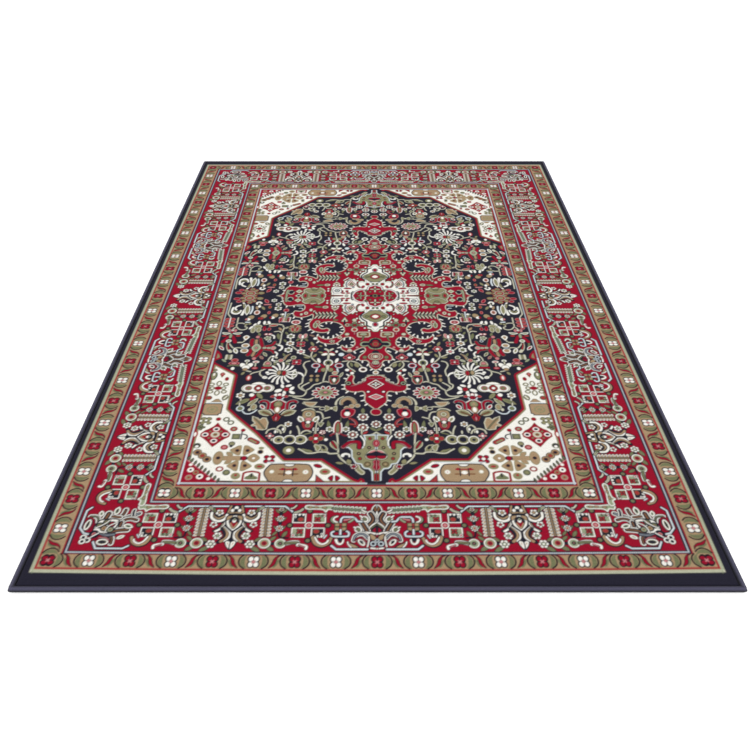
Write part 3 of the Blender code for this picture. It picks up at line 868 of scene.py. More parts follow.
def draw_field_middle(drawing):
    """The navy field between the medallion and the foot."""
    pen = Pen(drawing)
    # next to the axis
    pen.disc((2, 583), 14, "cream", (2, "crimson"))
    rosette(pen, (36, 603), 1.1)
    rosette(pen, (36, 645), 1.1)
    rosette(pen, (0, 632), 1.0)
    rosette(pen, (63, 673), 1.05)
    pen.leaf((36, 590), (37, 566), 11, "olive")
    pen.line([(72, 609), (59, 618), (53, 631), (58, 641)], (8, 6), "rust")
    pen.line([(58, 634), (70, 632)], 6, "rust")
    pen.line([(68, 613), (58, 624), (57, 634)], 2, "rose")
    pen.leaf((-2, 660), (18, 644), 9, "olive")
    pen.stem((0, 664), (12, 672), (35, 675), (39, 660), (39, 650))
    pen.leaf((22, 660), (37, 672), 8, "rust")
    # the capsule
    for side in (-1, 1):
        pen.leaf((104 + side * 11, 664), (104 + side * 28, 616), 11, "olive", bend=side * 5)
        pale_flower(pen, (104 + side * 22, 652), "khaki", size=0.8)
    pen.shape([(94, 669), (93, 632), (104, 617), (115, 632), (114, 669)], "ivory", (3, "crimson"),
        (7.4, "olive"))
    pen.line([(98, 625), (97, 606)], 2, "olive")
    # snail curl
    pen.line([(60, 548), (66, 532), (80, 524), (93, 532), (96, 546)], 15, "cream")
    pen.line([(60, 549), (66, 533), (80, 526), (92, 533), (94, 546)], 10.5, "camel")
    pen.line([(92, 516), (105, 526), (112, 540), (113, 550)], (3, 7), "cream")
    pen.disc((85, 546), 7, "navy")
    for at in ((52, 556), (68, 558), (82, 566)):
        pen.disc(at, (8, 8), "cream", (1.6, "camel"))
    pen.shape([(58, 574), (76, 566), (95, 575), (98, 595), (90, 607), (74, 603), (62, 594)], "rose",
        (2, "crimson"))
    pen.disc((80, 590), (8, 9), "ivory")
    pen.disc((80, 576), (6, 4), "navy")
    # the great crimson flower
    for i in range(12):
        across, along = math.cos(math.tau * (i + 0.5) / 12), math.sin(math.tau * (i + 0.5) / 12)
        pen.leaf((145 + 16 * across, 500 + 11 * along), (145 + 41 * across, 500 + 32 * along), 13, "ivory",
            (2.2, "crimson"))
    pen.disc((145, 500), (22, 16), "cream", (2.2, "khaki"), (9, "olive"))
    pen.disc((145, 499), (6, 4.4), "rose")
    # cup, dots and stems under the medallion
    pen.shape([(106, 424), (114, 420), (130, 420), (138, 424), (138, 448), (130, 462), (114, 462),
        (106, 448)], "cream", (1.6, "crimson"), (8, "navy"), sharp=True)
    pen.disc((122, 444), (5, 10), "ivory")
    pen.line([(110, 430), (122, 458), (134, 430)], 2.6, "olive")
    pen.disc((121, 410), 9, "cream", (2.2, "camel"), (5.5, "rose"))
    pen.leaf((107, 432), (97, 406), 9, "cream", (2, "olive"))
    pen.stems([(147, 403), (152, 430), (155, 450), (165, 459), (180, 465), (190, 480), (200, 490),
        (202, 505), (214, 516), (248, 513)], [(155, 452), (147, 450), (138, 453)], [(195, 455), (215, 474),
        (205, 490)])
    pen.discs([(172, 424), (190, 424)], 5.4, "camel")
    pen.discs([(172, 443), (190, 443)], (5.4, 9), "olive", (2, "camel"))
    # boat and bow
    pen.stems([(178, 522), (194, 530), (220, 525), (236, 518)], [(206, 545), (186, 560), (160, 561),
        (132, 566)])
    pen.shape([(165, 541), (206, 539), (198, 554), (185, 560), (172, 555)], "cream", (2.4, "camel"),
        sharp=True)
    pen.shape([(110, 556), (125, 564), (142, 556), (142, 580), (125, 571), (110, 580)], "cream",
        (2, "khaki"))
    pen.disc((125, 567), 5, "cream")
    pen.disc((150, 568), (9, 7), "cream", (2.4, "navy"))
    pen.stems([(186, 582), (160, 582), (150, 590), (146, 610), (150, 622)], [(145, 610), (128, 604)])
    pen.shape([(143, 626), (158, 626), (157, 634), (151, 643), (145, 634)], "cream", (2, "olive"))
    # the tall tulip
    pen.stem((170, 580), (178, 570), (196, 570), (206, 577))
    pen.shape([(172, 578), (200, 578), (204, 606), (198, 620), (174, 620), (168, 606)], "olive",
        (1.6, "camel"))
    pen.disc((187, 592), 8.6, "cream", (3, "khaki"))
    pen.disc((186, 612), (9, 6), "rose")
    pen.leaves([((172, 626), (159, 599)), ((200, 626), (214, 599))], 17, "ivory", (4, "khaki"))
    pen.line([(173, 625), (177, 642), (186, 652), (196, 642), (200, 625)], 7, "rust")
    pen.disc((186, 637), (7.5, 9), "rose", (1.6, "olive"))
    pen.disc((186, 624), 5.4, "ivory")
    pen.disc((186, 652), (8, 3.6), "crimson")
    pen.stem((175, 664), (186, 657), (198, 662), (204, 674), (205, 684))
    pen.line([(177, 667), (192, 672), (199, 682)], 4, "olive")
    pen.stem((215, 640), (209, 655), (206, 672))
    pale_flower(pen, (164, 652), "olive", size=0.65)
    pen.stem((165, 659), (166, 672))
    pale_flower(pen, (240, 632), "camel", size=0.8)
    pen.lines([[(249, 664), (247, 646), (258, 636), (268, 646), (266, 664)], [(256, 668), (262, 656),
        (278, 650), (292, 656), (296, 668)]], 4.4, "cream")
    pen.discs([(252, 652), (272, 662)], (3, 6), "ivory")
    pen.shape([(296, 652), (294, 626), (302, 606), (313, 605), (319, 613), (326, 606), (342, 599),
        (340, 618), (332, 628), (342, 636), (338, 641), (328, 640), (324, 653), (306, 656)], "cream",
        (3, "camel"), sharp=True)
    pen.line([(303, 650), (318, 628), (336, 606)], 2, "khaki")


def draw_field_side(drawing):
    """The navy field beside the foot and up to the pale flowers."""
    pen = Pen(drawing)
    # the spiky flower with its leaf and stem
    pen.stem((200, 353), (212, 358), (217, 372), (213, 385), (207, 400), (209, 420), (214, 432),
        (215, 456), (224, 466), (220, 480), (204, 492))
    pen.line([(213, 426), (220, 414), (232, 409)], (4, 8), "ivory")
    pen.leaf((238, 398), (243, 436), 17, "ivory", (3, "olive"))
    spiky_flower(pen, (279, 411), 43, 15, tilt=6)
    pen.discs([(322, 408)], 5.4, "ivory")
    pen.stem((340, 395), (343, 402), (343, 416), (334, 428))
    pen.disc((327, 431), (8, 6), "ivory", (3.4, "cream"), turn=-20)
    pen.stem((330, 391), (345, 402), (366, 411), (374, 424))
    pen.disc((374, 433), (8.5, 14), "rust", (3, "rose"), (6, "ivory"))
    # white cartouche and flower
    pen.discs([(313, 480), (369, 480)], (20, 18), "khaki", (1, "ivory"))
    pen.disc((341, 477), (27, 25), "khaki", (1, "ivory"))
    pen.line([(313, 480), (369, 480)], 30, "ivory", sharp=True)
    pen.discs([(314, 480), (368, 480)], 9, "rose", (1.6, "brown"), (3.4, "olive"))
    pen.shape([(340, 465), (352, 480), (340, 494), (327, 480)], "brown", (1.5, "crimson"))
    pen.disc((340, 480), 5, "ivory")
    for at, size, turn in (
        ((243, 482), (5.5, 10), -30), ((241, 499), (10, 5), -35), ((263, 501), (4.6, 10), 5),
        ((281, 491), (11, 7), 25), ((253, 469), (9, 4.6), 20), ((271, 471), (4.6, 9), 20),
    ):
        pen.disc(at, size, "ivory", turn=turn)
    pen.disc((258, 485), (8, 8.5), "brown", (1, "crimson"))
    # the great tulip palmette
    both = Pen(drawing, at=(275.5, 0), mirrored=True)
    both.disc((16, 516), (10, 6), "rose", (1.4, "rust"), turn=15)
    both.disc((9, 510), (6.5, 6), "ivory")
    both.disc((0, 510), (6, 8), "rose", (1.6, "ivory"))
    both.shape([(0, 515), (7, 520), (9, 534), (0, 538)], "crimson")
    both.line([(13, 522), (9, 529), (14, 536), (22, 541)], 3.4, "mist")
    both.shape([(0, 533), (14, 536), (24, 547), (25, 566), (15, 577), (8, 586), (0, 588)], "ivory",
        (2.4, "crimson"))
    both.disc((0, 550), (12, 14), "olive", (2.6, "khaki"), (8, "camel"))
    both.disc((0, 573), (9.5, 14), "camel", (4, "ivory"))
    hook = [(27, 569), (27, 548), (34, 538), (45, 536), (51, 541)]
    both.strokes(hook, (11, "ivory"), (6.6, "crimson"))
    both.disc((44, 547), (7, 4), "navy")
    both.leaf((36, 571), (50, 551), 13, "ivory", (2.4, "crimson"))
    both.leaf((11, 594), (54, 577), 25, "cream", (2.8, "khaki"))
    both.line([(15, 596), (38, 583)], 3.4, "brown")
    both.shape([(0, 588), (6, 590), (7, 598), (13, 602), (7, 618), (0, 622)], "brown", (1, "crimson"),
        sharp=True)
    both.disc((0, 610), (2.6, 8), "rose")
    # leaves, ring and bud
    pen.leaf((342, 500), (322, 528), 14, "olive", (2, "khaki"), (5, "olive"))
    pen.leaf((334, 524), (362, 558), 15, "cream", (2.2, "khaki"))
    pen.leaf((356, 526), (396, 551), 16, "khaki", (3.4, "olive"))
    pen.leaf((344, 508), (356, 536), 13, "crimson")
    pen.disc((355, 510), 7, "ivory")
    pen.stem((387, 497), (387, 512), (384, 524), (383, 534))
    pale_flower(pen, (387, 512), "camel", size=0.95)
    pen.disc((380, 568), 11.5, "mist", (3.6, "olive"))
    pen.stem((385, 545), (383, 556))
    pen.line([(372, 579), (363, 589), (350, 590), (340, 583), (333, 574)], 4, "mist")
    pen.disc((343, 562), (9, 13), "cream", (2.2, "khaki"), (6, "camel"))
    pen.disc((353, 573), (4.5, 6), "cream")
    # the lilies by the corner piece
    pen.disc((326, 371), (12.5, 20), "cream", (2.4, "camel"))
    pen.disc((325, 364), (7, 6), "rose")
    pen.line([(317, 377), (335, 377)], 4, "sage")
    pen.line([(314, 385), (338, 385)], 8.5, "crimson")
    pen.stem((318, 328), (324, 340), (326, 352))
    pen.disc((362, 357), (10, 6), "ivory", (2.6, "rose"))
    pen.stem((362, 363), (362, 380))
    pen.disc((362, 387), (10, 6.5), "crimson", (3, "rose"))
    pen.stem((372, 404), (384, 400), (396, 396))
    pen.disc((389, 352), (7.5, 6), "ivory", (3, "sage"))
    pen.stem((389, 356), (389, 368))
    pen.disc((378, 373), (8, 11), "ivory", turn=-28)
    pen.disc((400, 373), (8, 11), "ivory", turn=28)
    pen.disc((389, 384), (11, 10), "ivory")
    pen.disc((390, 393), (7, 6), "camel")
    pen.leaf((390, 404), (398, 420), 9, "khaki")
    pen.disc((427, 349), (11, 9), "rose", (2.6, "rust"))
    pen.disc((427, 364), (17, 8), "rose", (2.4, "crimson"))
    pen.disc((427, 364), (8, 6), "rose")
    pen.line([(412, 376), (427, 373), (444, 377)], 5, "olive")
    pen.disc((428, 389), (5.5, 7), "ivory")


def draw_field_flowers(drawing):
    """The small flowers and the crimson palmette above them."""
    pen = Pen(drawing)
    # tulips and pale flowers
    tulip(pen, (230, 224), "rose", "ivory")
    tulip(pen, (258, 186), "rust", "camel")
    pen.stems([(231, 240), (233, 252)], [(233, 283), (232, 296)], [(260, 278), (246, 294), (240, 300)],
        [(222, 318), (210, 326), (200, 332)], [(268, 239), (266, 252)])
    pen.petals((233, 267), 4, 9.5, (7, 6.4), "rose", (1.6, "crimson"), turn=45)
    pen.disc((233, 267), 4.6, "sage")
    for at, heart in (
        ((268, 225), "olive"), ((267, 263), "camel"), ((269, 297), "olive"), ((230, 305), "rose"),
    ):
        pale_flower(pen, at, heart)
    for start, end in (
        ((212, 252), (222, 236)), ((250, 252), (240, 236)), ((278, 218), (287, 200)),
        ((279, 258), (288, 241)), ((272, 338), (285, 312)), ((303, 376), (306, 358)),
        ((262, 372), (274, 358)),
    ):
        pen.leaf(start, end, 8, "olive")
    # rosette, ring and leaf arc
    for at in ((232, 352), (246, 352), (232, 364), (246, 364)):
        pen.disc(at, 7, "rose", (1.4, "crimson"))
    pen.disc((239, 358), 3, "ivory")
    pen.disc((250, 335), 8.5, "cream", (2.4, "olive"))
    pen.line([(262, 318), (272, 328), (278, 344)], (5, 10), "cream")
    pen.line([(264, 320), (272, 330), (276, 342)], (3, 6), "camel")
    pen.leaves([((255, 345), (272, 357)), ((294, 348), (308, 362))], 10, "cream", (2, "sage"))
    pen.disc((287, 350), 8.5, "cream", (2, "rust"), (5, "rose"))
    pen.line([(306, 352), (314, 349), (313, 341)], 5, "ivory")
    pen.leaf((298, 340), (310, 328), 8, "cream")
    pen.disc((313, 330), 4.4, "ivory")
    # the curling stem
    pen.stems([(293, 178), (298, 210), (298, 240), (299, 262), (304, 268), (312, 265)], [(300, 205),
        (308, 198), (322, 200)])
    pen.line([(302, 272), (292, 277), (290, 289), (296, 299)], 6.4, "ivory")
    pen.leaf((303, 243), (311, 208), 11, "olive")
    # the crimson palmette
    for points, narrow, wide in (
        ([(315, 255), (321, 271), (337, 278), (354, 283)], 7, 10),
        ([(312, 312), (321, 299), (337, 294), (352, 290)], 7, 10),
        ([(362, 238), (357, 258), (353, 277)], 8, 11),
        ([(372, 338), (360, 320), (353, 298)], 8, 11),
        ([(387, 244), (388, 262), (383, 277)], 11, 10),
        ([(385, 295), (386, 308), (391, 322)], 10, 11),
    ):
        pen.strokes(points, ((narrow + 3.6, wide + 3.6), "cream"), ((narrow, wide), "crimson"))
    pen.lines([[(374, 246), (373, 262), (370, 274)], [(372, 298), (374, 312), (377, 326)]], 9, "camel")
    pen.discs([(372, 229), (370, 340)], (6, 7), "rose")
    pen.shape([(370, 265), (384, 286), (370, 307), (356, 286)], "cream", (2.4, "sage"))
    pen.disc((370, 286), (3.4, 5), "rose")
    pen.disc((317, 287), 8.5, "cream", (2, "rose"))
    pen.discs([(331, 287), (344, 286)], (6, 5), "cream", (1.8, "sage"))
    pen.flower((340, 235), 5, 7, (5, 4.4), "cream", 5, "sage")
    pen.disc((333, 251), 6, "mist", (2, "navy"))
    pen.discs([(347, 214), (335, 214)], (6.5, 5.5), "rose", (3, "ivory"))
    pen.line([(320, 236), (321, 224), (329, 218)], 5, "ivory")
    pen.leaf((365, 224), (372, 206), 9, "olive")
    pen.leaf((332, 330), (346, 308), 11, "cream", (2, "olive"))
    pen.leaf((342, 344), (354, 326), 10, "rose", (2, "olive"))
    pen.line([(304, 328), (302, 316), (309, 307)], 5, "ivory")
    # buds towards the side
    pen.stem((409, 243), (414, 254), (418, 256))
    pen.shape([(398, 228), (408, 220), (418, 228), (415, 238), (409, 247), (402, 238)], "ivory",
        (4, "camel"))
    pen.line([(418, 258), (438, 258)], 5.6, "cream")
    for y in (274, 301):
        pen.disc((405, y), (12.5, 11), "ivory", (3.4, "camel"))
    pen.line([(401, 288), (413, 288)], 7, "slate")
    pen.stem((414, 288), (425, 285), (440, 287), (447, 280), (458, 262))
    pen.leaf((438, 287), (426, 316), 14, "ivory", (3.4, "khaki"))
    pen.line([(462, 255), (461, 275), (456, 292), (447, 306)], (6, 11), "cream")
    pen.line([(461, 262), (459, 277), (454, 292)], (2, 5), "rust")
    pen.line([(474, 250), (480, 262), (477, 278)], 7, "olive")
    pen.leaf((469, 298), (487, 275), 12, "ivory", (2.4, "crimson"))
    pen.shape([(425, 204), (440, 205), (455, 209), (440, 216), (430, 213)], "ivory", (2, "sage"))
    pen.shape([(488, 204), (474, 205), (460, 209), (474, 216), (484, 213)], "ivory", (2, "sage"))
    pen.discs([(448, 194), (466, 194)], (5, 8), "rose")
    pen.disc((457, 192), (6, 8), "rose", (2, "ivory"))
    pen.disc((457, 203), (4.5, 5), "crimson")
    pen.discs([(435, 223), (479, 223)], (8, 4.6), "rust")
    pen.lines([[(452, 224), (446, 240), (440, 257)], [(464, 226), (472, 240), (479, 254)]], (9, 12),
        "crimson")
    pen.disc((459, 223), (4.5, 13), "sage")
    pen.disc((461, 250), (8.5, 8), "ivory", (2.4, "sage"))
    pen.lines([[(441, 324), (441, 342)], [(455, 324), (455, 342)]], 7.6, "cream", sharp=True)
    pen.line([(448, 324), (448, 342)], 5, "khaki", sharp=True)
    pen.leaf((452, 358), (468, 342), 8, "sage")
    # the flowers by the long side
    pen.stem((485, 34), (486, 70), (486, 98), (480, 110), (474, 121))
    for y in (131, 149, 167):
        for side in (-1, 1):
            pen.disc((474 + side * 9, y), (8.5, 7.5), "rose", (1.8, "rust"), turn=side * 30)
    pen.disc((474, 180), (7, 8), "rose", (1.8, "rust"))
    pen.line([(474, 121), (474, 178)], 3.4, "ivory")
    pen.stems([(449, 122), (449, 170), (455, 182), (458, 190)], [(448, 172), (438, 186), (425, 190),
        (415, 185), (413, 177), (420, 173)], [(447, 153), (430, 153), (421, 161), (420, 170)])
    pen.line([(409, 148), (421, 147)], 6, "mist")
    pen.discs([(407, 156), (418, 160)], 5, "khaki")
    pen.line([(452, 48), (464, 56), (467, 68), (462, 76)], 6, "ivory")
    pen.line([(447, 80), (452, 95), (463, 99), (474, 92), (476, 76), (474, 62)], 7, "ivory")
    pen.line([(453, 83), (462, 91), (470, 84)], 6, "khaki")
    pen.line([(447, 28), (434, 58), (437, 84), (440, 104)], (5, 9), "ivory")
    pen.line([(442, 44), (438, 62)], 6, "khaki")
    pen.leaf((428, 42), (424, 108), 19, "ivory", (3, "khaki"))
    pen.line([(411, 55), (409, 75), (413, 98)], 6, "mist")
    for x, y, tip in ((330, 110, "crimson"), (367, 114, "rust"), (408, 120, "rose")):
        pen.disc((x, y), (10, 13), "khaki", (2, "camel"), turn=-30)
        pen.disc((x + 8, y + 11), (8, 7), "ivory" if tip != "rust" else "rust", turn=-20)
        pen.disc((x + 14, y + 11), (3.4, 6), tip)
    pen.line([(383, 36), (390, 28), (399, 33), (397, 41)], 6, "ivory")
    pen.stem((388, 40), (386, 54), (380, 60))
    pen.leaf((368, 76), (380, 54), 10, "khaki")
    pen.leaf((392, 76), (398, 52), 9, "camel")
    pen.disc((388, 55), (5, 7), "ivory")
    pen.disc((392, 91), (10, 13), "ivory", (3, "rose"), (5.5, "brown"))
    pale_flower(pen, (324, 67), "olive", size=0.95)
    pale_flower(pen, (325, 42), "khaki", size=0.75)
    pale_flower(pen, (342, 18), "sage", size=0.75)
    pen.stem((325, 50), (324, 58))
    pen.leaf((360, 36), (374, 10), 14, "rose", (2, "crimson"))
    pen.line([(352, 43), (372, 44)], 6, "rose")
    pen.disc((352, 59), (6, 9), "khaki", (1.5, "rust"))
    pen.disc((352, 92), (5.5, 9), "rose", (1.5, "rust"))
    pen.leaf((306, 118), (312, 150), 12, "rose", (2.4, "crimson"))
    pen.disc((305, 102), 5, "ivory")
    # the long-side palmette, half of it here
    pen.petals((428, 4), 8, 24, (10, 8), "rust", (2, "khaki"))
    pen.disc((428, 4), (17, 15), "cream", (2, "crimson"), (7, "khaki"))
    pen.disc((424, 30), (10, 9), "rust", (2, "khaki"), (5, "olive"))
    pen.disc((392, 6), (12, 9), "brown", (2, "khaki"))
    pen.disc((470, 8), (12, 8), "rose", (2, "crimson"))
    pen.disc((462, 25), (9, 7), "rose", (2, "crimson"))
    # the leafy tuft above the palmette
    pen.line([(302, 162), (322, 158), (345, 158), (360, 160)], 5, "cream")
    pen.disc((329, 166), (15, 6), "cream", (1.8, "rust"), turn=10)
    pen.discs([(341, 186), (356, 187)], (6, 9), "rose", (1.4, "crimson"))
    pen.disc((357, 176), (5, 6), "crimson")
    for at, turn in (
        ((345, 150), 20), ((360, 150), 0), ((378, 150), -10), ((390, 163), -20), ((400, 178), -30),
    ):
        pen.disc(at, (4.4, 10), "ivory", turn=turn)
    pen.disc((378, 172), (13, 11), "cream", (2.4, "khaki"))
    pen.disc((374, 190), (8, 14), "cream", (2.4, "khaki"))
    pen.disc((392, 192), (8, 15), "cream", (2.4, "khaki"))


MEDALLION_EDGE = (
    (-9, -20), (318, -20), (318, 0), (315, 20), (309, 38), (300, 50), (285, 53), (270, 49), (256, 46),
    (244, 45), (238, 53), (237, 66), (241, 76), (249, 82), (258, 81), (266, 79), (271, 86), (273, 99),
    (268, 112), (257, 120), (240, 121), (225, 116), (213, 108), (208, 103), (206, 114), (207, 128),
    (212, 138), (216, 151), (216, 168), (211, 184), (200, 196), (185, 204), (168, 207), (152, 203),
    (145, 193), (148, 184), (157, 179), (167, 183), (176, 180), (181, 170), (178, 158), (168, 150),
    (155, 146), (138, 147), (122, 153), (110, 165), (103, 180), (101, 195), (105, 208), (113, 218),
    (125, 228), (140, 236), (155, 238), (168, 233), (176, 224), (183, 217), (187, 228), (184, 243),
    (175, 256), (160, 265), (140, 268), (124, 265), (114, 256), (106, 244), (97, 234), (84, 230),
    (74, 235), (67, 248), (66, 264), (71, 277), (83, 284), (95, 281), (104, 271), (110, 280), (107, 292),
    (98, 302), (84, 309), (70, 306), (57, 297), (46, 289), (36, 287), (33, 298), (38, 310), (48, 322),
    (53, 335), (52, 347), (44, 352), (29, 351), (22, 360), (21, 375), (14, 388), (3, 396), (-12, 396),
    (-12, -20),
)
MEDALLION_TEETH = (
    ((311, 6), (321, 1)), ((312, 22), (321, 26)), ((296, 52), (298, 63)), ((273, 52), (271, 61)),
    ((273, 96), (280, 98)), ((266, 117), (270, 130)), ((243, 122), (239, 134)), ((211, 130), (224, 137)),
    ((216, 152), (229, 158)), ((216, 168), (230, 175)), ((208, 188), (218, 197)), ((196, 200), (206, 210)),
    ((150, 203), (152, 215)), ((141, 147), (145, 159)), ((160, 148), (158, 160)), ((107, 171), (117, 179)),
    ((102, 188), (112, 190)), ((106, 207), (116, 201)), ((176, 166), (167, 172)), ((118, 222), (127, 210)),
    ((133, 232), (134, 216)), ((150, 237), (148, 224)), ((165, 234), (166, 221)), ((184, 222), (182, 211)),
    ((80, 231), (80, 246)), ((98, 236), (99, 249)), ((67, 254), (79, 259)), ((70, 274), (80, 268)),
    ((90, 283), (91, 269)), ((158, 265), (152, 281)), ((178, 252), (186, 263)), ((121, 263), (114, 272)),
    ((108, 283), (121, 288)), ((66, 305), (60, 317)), ((38, 302), (50, 310)), ((52, 343), (60, 349)),
    ((40, 352), (40, 364)), ((22, 368), (27, 379)), ((10, 392), (18, 399)),
)
PENDANT_EDGE = (
    (-12, 426), (26, 427), (34, 440), (47, 454), (60, 460), (65, 446), (62, 428), (70, 415), (80, 424),
    (88, 445), (92, 468), (90, 486), (76, 496), (56, 499), (39, 496), (33, 508), (33, 535), (20, 556),
    (-12, 570),
)
PENDANT_TEETH = (
    ((80, 422), (88, 414)), ((86, 438), (96, 434)), ((91, 466), (102, 465)), ((90, 483), (101, 484)),
    ((80, 494), (88, 504)), ((58, 498), (61, 509)), ((36, 512), (47, 515)), ((33, 533), (45, 537)),
    ((25, 549), (33, 557)),
)


def draw_ring_of_flowers(pen):
    """Small figures in the medallion's crimson ground."""
    pen.shape([(122, 66), (127, 56), (134, 60), (141, 56), (147, 66), (140, 75), (137, 82), (128, 75)],
        "rose", (2, "cream"), (5, "olive"))
    pen.disc((167, 59), (11, 8.5), "rose", (1.4, "cream"), (4.4, "olive"))
    pen.leaf((176, 59), (205, 56), 10, "olive")
    pen.disc((214, 76), (5, 8), "cream")
    pen.disc((202, 86), (4, 6.5), "cream")
    pen.line([(124, 107), (197, 107)], 5, "olive", sharp=True)
    for i in range(6):
        x = 126 + i * 12.4
        for side in (-1, 1):
            pen.line([(x + 3, 107), (x + 9, 107 + side * 9), (x + 13, 107 + side * 19)], (6, 3), "navy")
            pen.line([(x, 107), (x + 6, 107 + side * 9), (x + 10, 107 + side * 18)], (5.6, 3.6), "cream")
    pen.line([(124, 107), (197, 107)], 1.6, "sage", sharp=True)
    pen.disc((68, 135), (8, 9), "olive", (1.6, "cream"))
    pen.shape([(100, 118), (106, 130), (111, 142), (100, 146), (89, 142), (94, 130)], "olive",
        (1.4, "cream"))
    pen.line([(100, 137), (100, 160)], 3, "navy")
    pen.disc((130, 135), (9, 4), "olive")
    for at in ((44, 162), (90, 163)):
        pen.disc(at, (8.5, 8.5), "cream", (2.4, "olive"), (5.4, "crimson"))
    pen.line([(67, 150), (67, 174)], 15, "cream")
    pen.line([(52, 163), (82, 163)], 12, "cream")
    pen.line([(67, 152), (67, 172)], 10.5, "olive")
    pen.line([(54, 163), (80, 163)], 8, "olive")
    pen.disc((67, 164), 5, "crimson")
    pen.disc((67, 189), (11.5, 13), "rose", (1.5, "cream"), (5, "rust"))
    pen.line([(67, 203), (66, 214)], 3, "rose")
    pen.shape([(16, 204), (24, 200), (52, 200), (60, 206), (59, 226), (54, 231), (22, 231), (15, 225)],
        "rose", (1.4, "cream"), (4.6, "brown"), sharp=True)
    pen.disc((38, 214), (11, 6), "cream", (1.4, "sage"))
    pen.line([(38, 226), (40, 240), (46, 250)], 4, "olive")
    pen.disc((90, 214), 7.5, "sage", (1.6, "cream"))
    pen.disc((113, 231), 8, "rose", (1.8, "cream"), (4.6, "olive"))
    pen.petals((136, 252), 5, 5, (4.4, 3.8), "rose", (1, "cream"))
    pen.disc((136, 252), 3.4, "sage")
    pen.shape([(80, 289), (89, 304), (71, 304)], "rose", (1.4, "cream"))
    pen.disc((57, 284), (4.5, 5.5), "rose")
    pen.disc((188, 147), 8.5, "cream", (3, "rust"))
    pen.disc((194, 164), (7.5, 16), "cream", (2.6, "olive"))
    pen.disc((229, 95), (7.5, 10), "rose", (1.6, "cream"), (4.6, "olive"))
    pen.disc((244, 102), (4.4, 6.5), "cream")
    pen.lines([[(243, 50), (250, 52), (262, 52)], [(241, 72), (246, 66), (254, 66)]], 3.4, "mist")


HEART_EDGE = (
    (-9, -20), (150, -20), (152, -11), (150, 2), (153, 14), (151, 30), (152, 42), (140, 50), (126, 48),
    (117, 44), (108, 48), (112, 60), (107, 72), (108, 84), (98, 90), (89, 104), (80, 96), (74, 102),
    (66, 88), (60, 92), (56, 82), (46, 86), (36, 80), (38, 92), (47, 100), (54, 112), (54, 128), (44, 147),
    (36, 147), (36, 162), (27, 172), (26, 184), (15, 186), (8, 200), (-9, 201),
)


